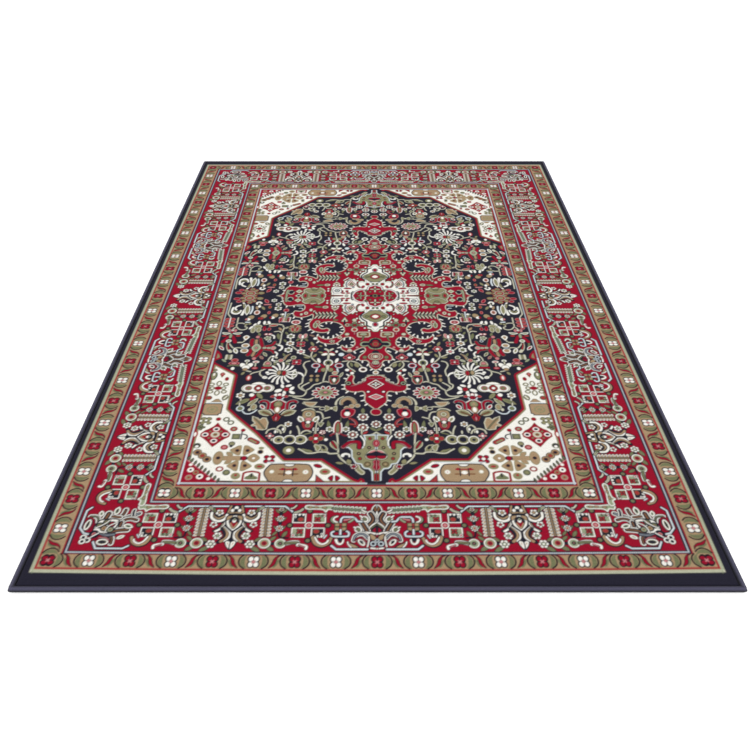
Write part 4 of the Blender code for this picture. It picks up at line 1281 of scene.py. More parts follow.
def draw_heart(pen):
    """The ivory star round the crimson middle, and the green blocks at its ends."""
    pen.shape(HEART_EDGE, "sage", (2.2, "ivory"), (6.6, "slate"), (8.4, "ivory"), sharp=True)
    pen.line([(110, 90), (94, 108)], 3, "ivory")
    for x, y in (
        (60, 100), (48, 94), (124, 56), (134, 58), (144, 55), (162, 20), (162, 34), (60, 126), (52, 146),
        (42, 160), (34, 180), (20, 195),
    ):
        pen.disc((x, y), (3, 4), "ivory")
    # the crimson middle
    middle = [(-9, -20), (74, -20), (75, 6), (68, 18), (58, 27), (46, 31), (34, 28), (28, 30), (26, 43),
    (18, 52),
              (-9, 57)]
    pen.shape(middle, "slate", (1.6, "ivory"), (4, "mist"), (5, "crimson"))
    pen.line([(81, -20), (81, 6), (76, 16)], 2, "navy")
    pen.line([(18, -11), (56, -11)], 4.6, "sage")
    pen.line([(26, -11), (34, -2), (33, 8), (39, 19)], (3, 4.4), "cream")
    pen.line([(44, -11), (50, -4), (48, 8)], (3, 4), "sage")
    pen.discs([(17, 14), (30, 22), (60, 4)], (4, 5), "olive")
    pen.line([(0, 14), (0, 46)], 5, "cream")
    pen.line([(-2, 31), (14, 31)], 5.5, "cream")
    pen.disc((0, 31), (3, 4), "olive")
    pen.disc((0, -11), (9, 11), "olive", (4, "navy"))
    pen.disc((14, -11), (3, 6), "navy")
    # rays
    pen.line([(112, -11), (166, -11)], (5, 10), "crimson")
    pen.line([(124, -11), (160, -11)], (2, 4), "brown")
    pen.disc((98, -11), (5, 7), "olive", (1.6, "ivory"), (3, "olive"))
    for x in (93, 110):
        pen.disc((x, 6), (6.5, 4), "rose", (1, "rust"))
        pen.disc((x + 4, 18), (4.4, 5.4), "crimson")
    pen.shape([(119, 8), (140, 6), (146, 20), (142, 36), (124, 38), (116, 24)], "slate", (1.5, "ivory"))
    pen.disc((131, 22), (8.4, 9), "navy", (2.4, "mist"), (5, "olive"))
    pen.disc((95, 36), (13, 4.4), "rose", (1.2, "crimson"))
    pen.disc((76, 44), (3.2, 5.4), "slate")
    pen.disc((42, 46), (5, 9), "rose", (1.2, "crimson"), turn=20)
    pen.shape([(80, 49), (91, 54), (95, 64), (90, 76), (84, 88), (77, 78), (70, 66), (71, 55)], "rust",
        (2, "ivory"), (4, "brown"))
    pen.disc((82, 64), (4.4, 5.6), "sage")
    pen.line([(98, 46), (101, 62), (98, 80), (88, 94)], 2.4, "slate")
    pen.line([(54, 44), (60, 54), (62, 68), (60, 80)], (7, 4), "crimson")
    pen.line([(56, 48), (60, 58), (61, 68)], 2, "sage")
    pen.disc((26, 64), (6.4, 8.4), "brown", (1.4, "crimson"))
    pen.disc((7, 66), (3.6, 5), "olive")
    pen.disc((14, 80), (4, 5), "slate")
    # crimson between the rays
    pen.shape([(38, 92), (44, 88), (52, 90), (62, 94), (58, 102), (50, 106), (44, 100)], "crimson")
    # the lower green block on its ivory arms
    pen.line([(36, 92), (46, 104), (47, 122), (36, 136), (28, 146), (27, 166), (14, 174)], 2.6, "navy")
    pen.shape([(-9, 82), (20, 84), (26, 92), (40, 106), (41, 118), (32, 128), (22, 134), (14, 142),
        (-9, 143)], "olive", (1.6, "khaki"))
    pen.shape([(-9, 99), (8, 100), (19, 114), (8, 129), (-9, 130)], "olive", (2, "crimson"), (8, "ivory"))
    pen.disc((28, 114), (5, 7), "olive")
    pen.disc((0, 160), (9, 12), "slate", (2, "crimson"))
    # the green block at the long end
    block = [(172, -20), (168, -4), (174, 6), (170, 18), (178, 32), (190, 42), (203, 37), (212, 42),
    (224, 37),
             (237, 38), (248, 26), (245, 12), (252, 0), (250, -20)]
    pen.shape(block, "cream", (3, "khaki"), sharp=True)
    pen.line([(184, 18), (194, 8), (212, 1), (230, 8), (240, 20)], 3, "cream")
    pen.line([(196, 38), (204, 24), (214, 24), (222, 38)], 2.2, "camel")
    pen.disc((209, 25), (7, 5), "olive")
    pen.disc((209, -11), (13, 6.4), "olive", (2, "crimson"))
    pen.discs([(181, -11), (239, -11)], (7.5, 14), "olive", (2.4, "crimson"))
    for at in ((262, -11), (262, 17)):
        pen.shape([(at[0] - 12, at[1]), (at[0], at[1] - 12), (at[0] + 12, at[1]), (at[0], at[1] + 12)],
            "cream", (4, "sage"), sharp=True)
    pen.disc((262, -11), (4, 4), "navy")
    pen.disc((289, 11), (11, 14), "cream", (2.6, "navy"))
    pen.line([(289, 8), (282, 18)], 6, "navy")
    pen.line([(302, -20), (304, 4), (301, 24)], 7, "sage")
    pen.line([(309, -20), (310, 10)], 3.4, "rust")


def draw_medallion(drawing):
    """The crimson medallion with its pendants."""
    pen = Pen(drawing)
    pen.shape(MEDALLION_EDGE, "cream", (3.4, "crimson"))
    pen.shape(PENDANT_EDGE, "cream", (3.2, "crimson"))
    for start, end in MEDALLION_TEETH + PENDANT_TEETH:
        tip = [0.3 * a + 0.7 * b for a, b in zip(start, end)]
        pen.line([start, tip], (5.4, 3.8), "ivory")
    draw_ring_of_flowers(pen)
    draw_heart(pen)
    # tracery below the box
    both = Pen(drawing, mirrored=True)
    both.line([(0, 238), (12, 244), (18, 258), (38, 258), (44, 268), (38, 276), (22, 272), (14, 286),
        (0, 290)], 9, "sage")
    both.line([(0, 240), (11, 246), (18, 261), (36, 263), (38, 270), (22, 269), (12, 282), (0, 286)],
        5.4, "navy")
    both.disc((0, 266), (10, 12), "olive", (2, "rust"))
    both.disc((0, 312), (10, 12), "navy")
    both.disc((4, 330), (19, 18), "cream", (2, "rust"), (7, "sage"))
    both.disc((2, 330), (7, 9), "cream")
    both.disc((33, 334), (6.5, 7.5), "olive")
    both.disc((2, 360), (8, 10), "cream", (2, "sage"))
    both.line([(0, 382), (10, 376), (14, 362)], 2.4, "rose")
    # between the medallion and its pendant
    both.disc((0, 408), (9, 9), "ivory", (3, "camel"))
    both.line([(0, 421), (25, 421)], 3.6, "cream")
    # the pendant's figures
    for y, across, along, coats in (
        (462, 24, 21, ("ivory", (2.6, "crimson"), (5.4, "navy"), (8, "sage"))),
        (518, 22, 13, ("ivory", (2.4, "crimson"), (5, "rose"))),
    ):
        pen.shape([(-across, y), (0, y - along), (across, y), (0, y + along)], *coats, sharp=True)
    both.line([(0, 454), (0, 470)], 4.4, "ivory")
    both.line([(0, 462), (10, 462)], 4, "ivory")
    for at in ((35, 442), (47, 456)):
        both.disc(at, (6.4, 5.4), "ivory", (1.4, "sage"))
    both.disc((80, 458), (9, 9), "navy", (1.6, "sage"), (4.6, "navy"))
    both.disc((22, 496), (5.4, 5), "navy", (1.4, "ivory"))
    both.line([(0, 436), (20, 436)], 2, "rose")
    both.line([(30, 449), (58, 466), (72, 470)], 1.8, "rose")


def draw_field_top(drawing):
    """The flowers between the medallion's lobes and the stems below them."""
    pen = Pen(drawing)
    # crimson flower, ring and leaves under the lobes
    pen.petals((80, 335), 4, 10.5, (8.4, 8), "rose", (2, "crimson"))
    pen.petals((80, 335), 4, 9, (6, 5), "rose", (1.6, "crimson"), turn=45)
    pen.disc((80, 336), 6, "olive", (1.4, "ivory"))
    pen.stems([(38, 386), (50, 367), (64, 356), (82, 352), (100, 355)], [(80, 354), (85, 369), (79, 385),
        (68, 396), (62, 403)])
    pen.disc((38, 394), (12.5, 12), "ivory", (4.6, "brown"), (7, "navy"))
    pen.leaf((52, 384), (62, 361), 14, "khaki")
    pen.leaf((70, 382), (76, 358), 9, "olive")
    pen.disc((85, 396), (6.5, 6), "ivory")
    pen.disc((70, 411), (5.5, 6), "ivory")
    pen.disc((75, 400), (4, 4), "rust")
    pen.disc((105, 320), 8.5, "mist")
    pen.disc((120, 305), (4, 6), "ivory")
    # the pale spray and its palmette
    pen.line([(133, 292), (140, 299), (143, 310), (144, 346)], (8, 6), "cream")
    pen.line([(155, 292), (147, 299), (143, 310)], (8, 5), "cream")
    for side in (-1, 1):
        pen.disc((145 + side * 12, 312), (10, 6), "crimson", turn=side * 30)
        pen.disc((145 + side * 11, 319), (10.5, 6.4), "cream", (2, "ivory"), turn=side * 20)
        pen.strokes([(145 + side * 8, 380), (145 + side * 22, 369), (145 + side * 38, 358)], ((12, 8),
            "cream"), ((9, 5), "crimson"))
        pen.disc((145 + side * 27, 350), (4.6, 12), "ivory", turn=side * 16)
        pen.disc((145 + side * 35, 375), (13, 12), "mist", (3, "crimson"), (7, "navy"))
        pen.line([(145 + side * 10, 380), (145 + side * 19, 391), (145 + side * 23, 402)], (7, 9),
            "crimson")
        pen.line([(145 + side * 30, 390), (145 + side * 33, 405)], 5, "mist")
        pen.disc((145 + side * 10, 395), (8.5, 9), "khaki")
    pen.disc((143, 361), (14.5, 16.5), "ivory", (3.6, "olive"), (9, "navy"))
    pen.line([(144, 376), (144, 398)], (11, 5), "cream")
    pen.stem((147, 396), (150, 412), (152, 430))
    # the pink flower
    pen.petals((192, 292), 6, 9, (6.4, 5.6), "rose", (1.6, "rust"))
    pen.disc((192, 292), 5, "ivory")
    pen.stems([(195, 307), (197, 328), (190, 344), (178, 358)], [(199, 334), (210, 325), (222, 318)])
    for start, end, width in (
        ((191, 336), (181, 316), 9), ((200, 338), (220, 332), 9), ((160, 313), (177, 306), 7),
        ((165, 281), (175, 273), 7), ((192, 278), (202, 254), 9),
    ):
        pen.leaf(start, end, width, "khaki")
    pen.disc((190, 237), (6, 6), "ivory")
    pen.leaf((192, 226), (210, 217), 7, "rose", (1, "olive"))
    # on the long axis
    pen.disc((296, 78), (9.5, 10), "rose", (3, "crimson"))
    pen.line([(297, 88), (297, 118)], 4, "mist")
    for side in (-1, 1):
        pen.disc((297 + side * 11, 103), (6, 6), "cream", (1.6, "khaki"))
        pen.leaf((297 + side * 4, 122), (297 + side * 12, 102), 8, "khaki")
    pen.shape([(276, 119), (284, 117), (290, 122), (304, 122), (309, 117), (316, 120), (314, 146),
        (278, 146)], "ivory", (2, "rose"), (5, "cream"), sharp=True)
    pen.lines([[(285, 122), (285, 142)], [(307, 122), (308, 142)]], 3.4, "crimson")
    pen.disc((292, 132), (3.4, 8), "khaki")
    pen.disc((258, 147), (15.5, 12.5), "ivory", (2.6, "rose"), (5, "rust"))
    pen.disc((258, 147), 4.6, "rose")
    pen.disc((258, 161), (6, 4.6), "ivory")
    for side in (-1, 1):
        for y, lean in ((171, 30), (184, 0), (196, -30)):
            pen.disc((258 + side * 10, y), (11, 7.5), "olive", (1.8, "camel"), turn=side * lean)
    pen.line([(258, 166), (258, 202)], 4.4, "rust")
    pen.line([(258, 190), (258, 204)], 6, "khaki")
    pen.stem((296, 204), (294, 182), (300, 164), (314, 158), (330, 156))
    pen.leaf((292, 184), (279, 173), 8, "cream", (2, "khaki"))
    pen.leaf((298, 196), (311, 176), 9, "camel")


def draw_design(half_width, half_length, yarns):
    """The whole quarter."""
    drawing = Drawing(half_width, half_length, yarns)
    draw_bands(drawing)
    drawing.outline = FINE_EDGE
    draw_medallion(drawing)
    draw_field_top(drawing)
    draw_field_middle(drawing)
    draw_field_side(drawing)
    draw_field_flowers(drawing)
    draw_foot(drawing)
    draw_border(drawing)
    drawing.outline = 0.0
    draw_spandrel(drawing)
    draw_guards(drawing)
    return drawing.sheet


# ---------------------------------------------------------------- end of the drawing

# ---------------------------------------------------------------- sizes of the make


class RUG_PG_pile(bpy.types.PropertyGroup):
    """How the pile is cut."""

    spacing: FloatProperty(
        name="Tuft spacing", description="From one tuft to the next",
        default=0.00225, min=0.0015, unit="LENGTH"
    )
    unevenness: FloatProperty(
        name="Unevenness", description="How far a tuft may stand below the cut",
        default=0.00045, unit="LENGTH"
    )
    shoulder: FloatProperty(
        name="Shoulder", description="How far from the edge the pile starts to fall",
        default=0.007, unit="LENGTH"
    )
    fall: FloatProperty(
        name="Fall", description="How much lower the pile is at the edge", default=0.0034, unit="LENGTH"
    )
    seed: IntProperty(name="Seed", description="Start of the tufts' random heights", default=7, min=0)


class RUG_PG_edge(bpy.types.PropertyGroup):
    """How the edge is serged."""

    wrap: FloatProperty(
        name="Wrap", description="From one turn of yarn to the next", default=0.0032, unit="LENGTH"
    )
    groove: FloatProperty(
        name="Groove", description="How deep the yarn pulls in between turns", default=0.00055, unit="LENGTH"
    )
    lean: FloatProperty(name="Lean", description="How many wraps a turn leans by", default=1.5)
    corner: FloatProperty(
        name="Corner", description="Radius of the edge's middle line at a corner",
        default=0.0035, unit="LENGTH"
    )


class RUG_PG_stage(bpy.types.PropertyGroup):
    """The floor, the light and the camera."""

    floor: colour_property("Floor", "Colour of the floor", (0.97, 0.97, 0.97))
    sky: FloatProperty(name="Sky", description="Strength of the light from all round", default=1.1, min=0.0)
    lamp: FloatProperty(
        name="Lamp", description="Strength of the soft light from the front", default=1.6, min=0.0
    )
    back_off: FloatProperty(
        name="Distance", description="From the near edge to the camera", default=0.845, unit="LENGTH"
    )
    height: FloatProperty(
        name="Height", description="From the floor to the camera", default=1.318, unit="LENGTH"
    )
    tilt: FloatProperty(
        name="Tilt", description="Turn of the camera up from straight down", default=math.radians(50.02),
        subtype="ANGLE",
    )
    lens: FloatProperty(name="Lens", description="Focal length", default=32.96, unit="CAMERA")
    aside: FloatProperty(
        name="Aside", description="From the rug's long axis to the camera", default=-0.014, unit="LENGTH"
    )
    shift: FloatProperty(name="Shift", description="Sideways shift of the view", default=0.0086)


# ---------------------------------------------------------------- shared helpers


def deselect():
    if bpy.context.object and bpy.context.object.mode != "OBJECT":
        bpy.ops.object.mode_set(mode="OBJECT")
    for shown in bpy.context.selected_objects:
        shown.select_set(False)


def added(name):
    """The primitive just added, renamed."""
    piece = bpy.context.active_object
    piece.name = name
    piece.data.name = name
    return piece


def settle(piece):
    """Leaves the piece at the origin, its place in its mesh."""
    deselect()
    piece.select_set(True)
    bpy.context.view_layer.objects.active = piece
    bpy.ops.object.transform_apply(location=True, rotation=True, scale=True)


def vertices_of(piece):
    places = np.zeros(len(piece.data.vertices) * 3, np.float32)
    piece.data.vertices.foreach_get("co", places)
    return places.reshape(-1, 3)


def place_vertices(piece, places):
    piece.data.vertices.foreach_set("co", np.ascontiguousarray(places, np.float32).ravel())
    piece.data.update()


def selected_vertices(piece):
    chosen = np.zeros(len(piece.data.vertices), bool)
    piece.data.vertices.foreach_get("select", chosen)
    return chosen


def add_grid(name, rows, columns):
    """A flat grid, and the row and column of each of its vertices."""
    deselect()
    bpy.ops.mesh.primitive_grid_add(x_subdivisions=columns, y_subdivisions=rows, size=1, location=(0, 0, 0))
    piece = added(name)
    places = vertices_of(piece)
    across = np.rint((places[:, 0] + 0.5) * columns).astype(int)
    along = np.rint((places[:, 1] + 0.5) * rows).astype(int)
    return piece, along, across


def close_below(piece, level):
    """Walls from the open rim to a level, and a face across them."""
    bpy.ops.object.mode_set(mode="EDIT")
    bpy.ops.mesh.select_mode(type="EDGE")
    bpy.ops.mesh.select_all(action="DESELECT")
    bpy.ops.mesh.select_non_manifold(
        extend=False, use_wire=False, use_boundary=True, use_multi_face=False,
        use_non_contiguous=False, use_verts=False,
    )
    bpy.ops.mesh.extrude_region_move()
    bpy.ops.object.mode_set(mode="OBJECT")
    places = vertices_of(piece)
    places[selected_vertices(piece), 2] = level
    place_vertices(piece, places)
    bpy.ops.object.mode_set(mode="EDIT")
    bpy.ops.mesh.edge_face_add()
    bpy.ops.mesh.select_all(action="SELECT")
    bpy.ops.mesh.normals_make_consistent(inside=False)
    bpy.ops.object.mode_set(mode="OBJECT")
    bpy.ops.object.shade_smooth_by_angle(angle=math.radians(60))


def tint_vertices(piece, layer, colours):
    attribute = piece.data.attributes.new(layer, "FLOAT_COLOR", "POINT")
    full = np.ones((len(colours), 4), np.float32)
    full[:, :3] = colours
    attribute.data.foreach_set("color", full.ravel())


def finish_piece(piece, material, slot, *replaced):
    piece.data.materials.clear()
    piece.data.materials.append(material)
    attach(piece, "root")
    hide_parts(*replaced)
    return piece


# ---------------------------------------------------------------- materials

JUTE = (0.37, 0.27, 0.16)
COTTON = (0.52, 0.47, 0.38)
SHEEN_ROUGHNESS = 0.6


class Shading:
    """A material's nodes, made a few at a time."""

    def __init__(self, name, roughness, sheen=0.0, gloss=0.1):
        self.material = bpy.data.materials.new(name)
        self.material.use_nodes = True
        self.nodes = self.material.node_tree.nodes
        self.links = self.material.node_tree.links
        self.shader = self.nodes["Principled BSDF"]
        self.shader.inputs["Roughness"].default_value = roughness
        self.shader.inputs["Sheen Weight"].default_value = sheen
        self.shader.inputs["Sheen Roughness"].default_value = SHEEN_ROUGHNESS
        self.shader.inputs["Specular IOR Level"].default_value = gloss
        self.place = self.nodes.new("ShaderNodeTexCoord").outputs["Object"]

    def link(self, start, end):
        if hasattr(start, "default_value"):
            self.links.new(start, end)
        else:
            end.default_value = start
        return end

    def math(self, operation, first, second=0.0):
        node = self.nodes.new("ShaderNodeMath")
        node.operation = operation
        self.link(first, node.inputs[0])
        self.link(second, node.inputs[1])
        return node.outputs[0]

    def spread(self, value, low, high):
        """A 0 to 1 value spread from low to high."""
        node = self.nodes.new("ShaderNodeMapRange")
        self.link(value, node.inputs["Value"])
        node.inputs["To Min"].default_value = low
        node.inputs["To Max"].default_value = high
        return node.outputs["Result"]

    def stretched(self, scale, turn=0.0, source=None):
        node = self.nodes.new("ShaderNodeMapping")
        node.inputs["Scale"].default_value = scale
        node.inputs["Rotation"].default_value = (0, 0, turn)
        self.links.new(source or self.place, node.inputs["Vector"])
        return node.outputs["Vector"]

    def noise(self, scale, detail=2.0, vector=None):
        node = self.nodes.new("ShaderNodeTexNoise")
        node.inputs["Scale"].default_value = scale
        node.inputs["Detail"].default_value = detail
        self.links.new(vector or self.place, node.inputs["Vector"])
        return node.outputs["Fac"]

    def bands(self, scale, vector=None, direction="X", distortion=0.0):
        node = self.nodes.new("ShaderNodeTexWave")
        node.wave_type = "BANDS"
        node.bands_direction = direction
        node.inputs["Scale"].default_value = scale
        node.inputs["Distortion"].default_value = distortion
        self.links.new(vector or self.place, node.inputs["Vector"])
        return node.outputs["Fac"]

    def painted(self, layer):
        node = self.nodes.new("ShaderNodeAttribute")
        node.attribute_name = layer
        return node.outputs["Color"]

    def shaded(self, colour, factor):
        """A colour made lighter or darker by a factor near 1."""
        node = self.nodes.new("ShaderNodeVectorMath")
        node.operation = "SCALE"
        self.link(colour, node.inputs[0])
        self.link(factor, node.inputs["Scale"])
        return node.outputs["Vector"]

    def between(self, factor, first, second):
        node = self.nodes.new("ShaderNodeMix")
        node.data_type = "RGBA"
        self.link(factor, node.inputs["Factor"])
        self.link(first, node.inputs["A"])
        self.link(second, node.inputs["B"])
        return node.outputs["Result"]

    def finish(self, colour, height, depth, strength=1.0):
        self.link(colour, self.shader.inputs["Base Color"])
        bump = self.nodes.new("ShaderNodeBump")
        bump.inputs["Distance"].default_value = depth
        bump.inputs["Strength"].default_value = strength
        self.links.new(height, bump.inputs["Height"])
        self.links.new(bump.outputs["Normal"], self.shader.inputs["Normal"])
        return self.material


def pile_material(name):
    """Cut pile: the drawn colour, broken up tuft by tuft and row by row."""
    known = bpy.data.materials.get(name)
    if known:
        return known
    cut = Shading(name, roughness=0.95, sheen=0.01, gloss=0.04)
    tufts = cut.spread(cut.noise(scale=420, detail=1.0), low=0.80, high=1.20)
    rows = cut.noise(scale=1.0, detail=1.0, vector=cut.stretched(scale=(9, 260, 1)))
    rows = cut.spread(rows, low=0.92, high=1.08)
    patches = cut.spread(cut.noise(scale=5), low=0.96, high=1.04)
    shade = cut.math("MULTIPLY", cut.math("MULTIPLY", tufts, rows), patches)
    tips = cut.noise(scale=900)
    return cut.finish(cut.shaded(cut.painted("yarn"), shade), tips, depth=0.0008, strength=0.5)


# where the painted highlight lies round the edge, in radians, and how narrow it is; the rest of the round
# gets painted shade
HIGHLIGHT_ANGLE = 1.3
HIGHLIGHT_SHARPNESS = 6.0


def serging_material(yarn, half_way_round):
    """Navy yarn wound round the edge, each turn of several strands, with a painted highlight along its outer
    shoulder and painted shade round the rest.
    """
    wound = Shading("serging yarn", roughness=0.6, sheen=0.02, gloss=0.2)
    along = wound.nodes.new("ShaderNodeUVMap")
    along.uv_map = "wound"
    laid = wound.stretched(scale=(1, 0.16, 1), source=along.outputs["UV"])
    strands = wound.bands(scale=520, vector=laid, distortion=1.5)
    fibres = wound.noise(scale=1500)
    parts = wound.nodes.new("ShaderNodeSeparateXYZ")
    wound.links.new(along.outputs["UV"], parts.inputs["Vector"])
    round_edge = wound.math("MULTIPLY", parts.outputs["Y"], math.tau / half_way_round)
    from_highlight = wound.math("COSINE", wound.math("SUBTRACT", round_edge, HIGHLIGHT_ANGLE))
    shoulder = wound.math("POWER", wound.spread(from_highlight, low=0.5, high=1.0), HIGHLIGHT_SHARPNESS)
    tone = wound.spread(strands, low=0.75, high=1.3)
    shade = wound.math("MULTIPLY", tone, wound.spread(fibres, low=0.8, high=1.2))
    # painted light: a bright painted highlight along the outer shoulder, and painted shade to about a fifth
    # of the yarn's colour everywhere else round the edge
    shade = wound.math("MULTIPLY", shade, wound.spread(shoulder, low=0.15, high=4.4))
    height = wound.math("ADD", strands, wound.math("MULTIPLY", fibres, 0.4))
    return wound.finish(wound.shaded(yarn, shade), height, depth=0.0003, strength=0.8)


def ground_material():
    """The woven back: pale ribs of jute with the pile's colours showing between them."""
    woven = Shading("jute back", roughness=0.95)
    wefts = woven.bands(scale=85, direction="Y", distortion=0.6)
    warps = woven.bands(scale=110, direction="X", distortion=0.4)
    fibres = woven.noise(scale=1.0, detail=3.0, vector=woven.stretched(scale=(150, 900, 300)))
    weave = woven.math("MULTIPLY", wefts, woven.spread(warps, low=0.55, high=1.0))
    jute = woven.shaded(JUTE, woven.spread(fibres, low=0.7, high=1.25))
    colour = woven.between(woven.spread(weave, low=0.35, high=1.0), woven.painted("ghost"), jute)
    height = woven.math("ADD", weave, woven.math("MULTIPLY", fibres, 0.3))
    return woven.finish(colour, height, depth=0.0009, strength=0.9)


def cord_material():
    """Twisted cotton inside the edge."""
    cotton = Shading("cotton filler cord", roughness=0.9, sheen=0.1)
    turned = cotton.stretched(scale=(1, 1, 1), turn=math.radians(45))
    twist = cotton.bands(scale=140, vector=turned, distortion=0.8)
    fibres = cotton.noise(scale=1100)
    colour = cotton.shaded(COTTON, cotton.spread(twist, low=0.75, high=1.1))
    return cotton.finish(colour, cotton.math("ADD", twist, fibres), depth=0.0004, strength=0.8)


def floor_material(colour):
    plain = Shading("plain floor", roughness=0.9)
    grain = plain.noise(scale=60)
    tone = plain.spread(grain, low=0.995, high=1.005)
    return plain.finish(plain.shaded(tuple(colour), tone), grain, depth=0.0001, strength=0.1)


# ---------------------------------------------------------------- the pile

PILE_SLOTS = {
    "field": "navy_pile",
    "medallion": "crimson_pile",
    "spandrel": "ivory_pile",
    "inner_guard": "camel_pile",
    "main_border": "crimson_pile",
    "outer_guard": "camel_pile",
    "edge_band": "navy_pile",
}
NODE_GAP = 0.0004


def pile_nodes():
    return sorted(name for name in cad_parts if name.startswith("pile_"))


def pile_box():
    """Lowest and highest corner of all the pile."""
    lows, highs = zip(*(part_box(name) for name in pile_nodes()))
    return [min(low[k] for low in lows) for k in range(3)], [max(high[k] for high in highs) for k in range(3)]


class Lattice:
    """Where each tuft stands, how high it is, and which node it belongs to."""

    def __init__(self, sizes):
        low, high = pile_box()
        self.bottom, self.top = low[2], high[2]
        self.columns = 2 * round((high[0] - low[0]) / sizes.spacing / 2)
        self.rows = 2 * round((high[1] - low[1]) / sizes.spacing / 2)
        self.x = np.linspace(low[0], high[0], self.columns + 1)
        self.y = np.linspace(low[1], high[1], self.rows + 1)
        luck = np.random.default_rng(sizes.seed)
        uneven = luck.random((self.rows + 1, self.columns + 1)) * sizes.unevenness
        from_side = np.minimum(self.x - low[0], high[0] - self.x)[None, :]
        from_end = np.minimum(self.y - low[1], high[1] - self.y)[:, None]
        near = np.clip(1 - np.minimum(from_side, from_end) / sizes.shoulder, 0, 1)
        self.tips = self.top - uneven - sizes.fall * near**2
        self.names = pile_nodes()
        self.owner = self.find_owners()

    def find_owners(self):
        """The node over each cell, as an index in names."""
        x = (self.x[1:] + self.x[:-1]) / 2
        y = (self.y[1:] + self.y[:-1]) / 2
        owner = np.full((self.rows, self.columns), -1)
        for index, name in enumerate(self.names):
            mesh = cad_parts[name].data
            places = vertices_of(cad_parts[name])
            for face in mesh.polygons:
                if face.normal.z < 0.9:
                    continue
                corners = places[list(face.vertices), :2].astype(float)
                i0, i1 = np.searchsorted(x, (corners[:, 0].min() - NODE_GAP, corners[:, 0].max() + NODE_GAP))
                j0, j1 = np.searchsorted(y, (corners[:, 1].min() - NODE_GAP, corners[:, 1].max() + NODE_GAP))
                if i0 == i1 or j0 == j1:
                    continue
                inside = np.ones((j1 - j0, i1 - i0), bool)
                for k in range(3):
                    start, end = corners[k], corners[(k + 1) % 3]
                    along = (end - start) / max(math.hypot(*(end - start)), 1e-9)
                    off = along[0] * (y[j0:j1, None] - start[1]) - along[1] * (x[None, i0:i1] - start[0])
                    inside &= off > -NODE_GAP
                patch = owner[j0:j1, i0:i1]
                patch[inside & (patch < 0)] = index
        if (owner < 0).any():
            raise RuntimeError(f"{int((owner < 0).sum())} cells of the pile lie over no node")
        return self.without_pinches(owner)

    @staticmethod
    def without_pinches(owner):
        """No piece touches itself only at a corner."""
        for _ in range(50):
            a, b, c, d = owner[:-1, :-1], owner[:-1, 1:], owner[1:, :-1], owner[1:, 1:]
            pinched = ((a == d) & (a != b) & (a != c)) | ((b == c) & (b != a) & (b != d))
            rows, columns = np.nonzero(pinched)
            if not len(rows):
                return owner
            owner[rows, columns] = owner[rows, columns + 1]
        raise RuntimeError("the pile's pieces can't be parted cleanly")


# how the weave runs out of true: its stretch along each half, and the near end's bow and widening
STRETCH = (1.0145, 1.02)
NEAR_END = 1100
NEAR_WIDENING = 0.007
NEAR_BOW = 6.0
BAND_HALF_WIDTH = 740


def design_place(x, y):
    """Where a point of the rug falls in the drawn quarter, in millimetres."""
    u = np.abs(x) / MM
    v = np.abs(y) / MM
    near_end = np.where(y < 0, (v / NEAR_END) ** 4, 0.0)
    across = u * (1 + NEAR_WIDENING * near_end)
    along = v * np.where(y < 0, *STRETCH) + NEAR_BOW * near_end * (u / BAND_HALF_WIDTH) ** 2
    return across, along


def sampled(sheet, x, y):
    """The drawing's colour at each place."""
    u, v = design_place(x, y)
    u = np.clip(u, 0, sheet.shape[1] - 1.001)
    v = np.clip(v, 0, sheet.shape[0] - 1.001)
    i, j = u.astype(int), v.astype(int)
    s, t = (u - i)[..., None], (v - j)[..., None]
    upper = sheet[j, i] * (1 - s) + sheet[j, i + 1] * s
    lower = sheet[j + 1, i] * (1 - s) + sheet[j + 1, i + 1] * s
    return upper * (1 - t) + lower * t


def softened(sheet):
    """The drawing spread a little, as yarns spread at the tip."""
    for axis in (0, 1):
        sheet = (np.roll(sheet, 1, axis) + 2 * sheet + np.roll(sheet, -1, axis)) / 4
    return sheet


def mirrored_edges(sheet):
    """Lets the softening run over the drawing's axes as if the other quarters were there."""
    return softened(np.pad(sheet, ((1, 1), (1, 1), (0, 0)), mode="reflect"))[1:-1, 1:-1]


def drawn_design(scene):
    yarns = {name: tuple(getattr(scene.rug_yarns, name)) for name in RUG_PG_yarns.__annotations__}
    half_width = math.ceil(CAD_BOX[1][0] / MM)
    half_length = math.ceil(CAD_BOX[1][1] / MM)
    return mirrored_edges(draw_design(half_width, half_length, yarns))


def add_pile_piece(name, lattice, mask, sheet, slot, node):
    """One region of tufts as a closed slab whose top is the cut pile."""
    rows = np.nonzero(mask.any(1))[0]
    columns = np.nonzero(mask.any(0))[0]
    j0, j1, i0, i1 = rows[0], rows[-1] + 1, columns[0], columns[-1] + 1
    piece, along, across = add_grid(name, j1 - j0, i1 - i0)
    rows, columns = j0 + along, i0 + across
    places = np.stack((lattice.x[columns], lattice.y[rows], lattice.tips[rows, columns]), 1)
    centres = np.zeros(len(piece.data.polygons) * 3, np.float32)
    piece.data.polygons.foreach_get("center", centres)
    centres = centres.reshape(-1, 3)
    row = ((centres[:, 1] + 0.5) * (j1 - j0)).astype(int)
    column = ((centres[:, 0] + 0.5) * (i1 - i0)).astype(int)
    spare = ~mask[j0 + row, i0 + column]
    place_vertices(piece, places)
    if spare.any():
        bpy.ops.object.mode_set(mode="EDIT")
        bpy.ops.mesh.select_mode(type="FACE")
        bpy.ops.mesh.select_all(action="DESELECT")
        bpy.ops.object.mode_set(mode="OBJECT")
        piece.data.polygons.foreach_set("select", spare)
        bpy.ops.object.mode_set(mode="EDIT")
        bpy.ops.mesh.delete(type="FACE")
        bpy.ops.object.mode_set(mode="OBJECT")
    close_below(piece, lattice.bottom)
    places = vertices_of(piece)
    tint_vertices(piece, "yarn", sampled(sheet, places[:, 0], places[:, 1]))
    return finish_piece(piece, pile_material(slot.replace("_", " ")), slot, node)


def pile_kind(node):
    return next(kind for kind in PILE_SLOTS if node.startswith(f"pile_{kind}"))


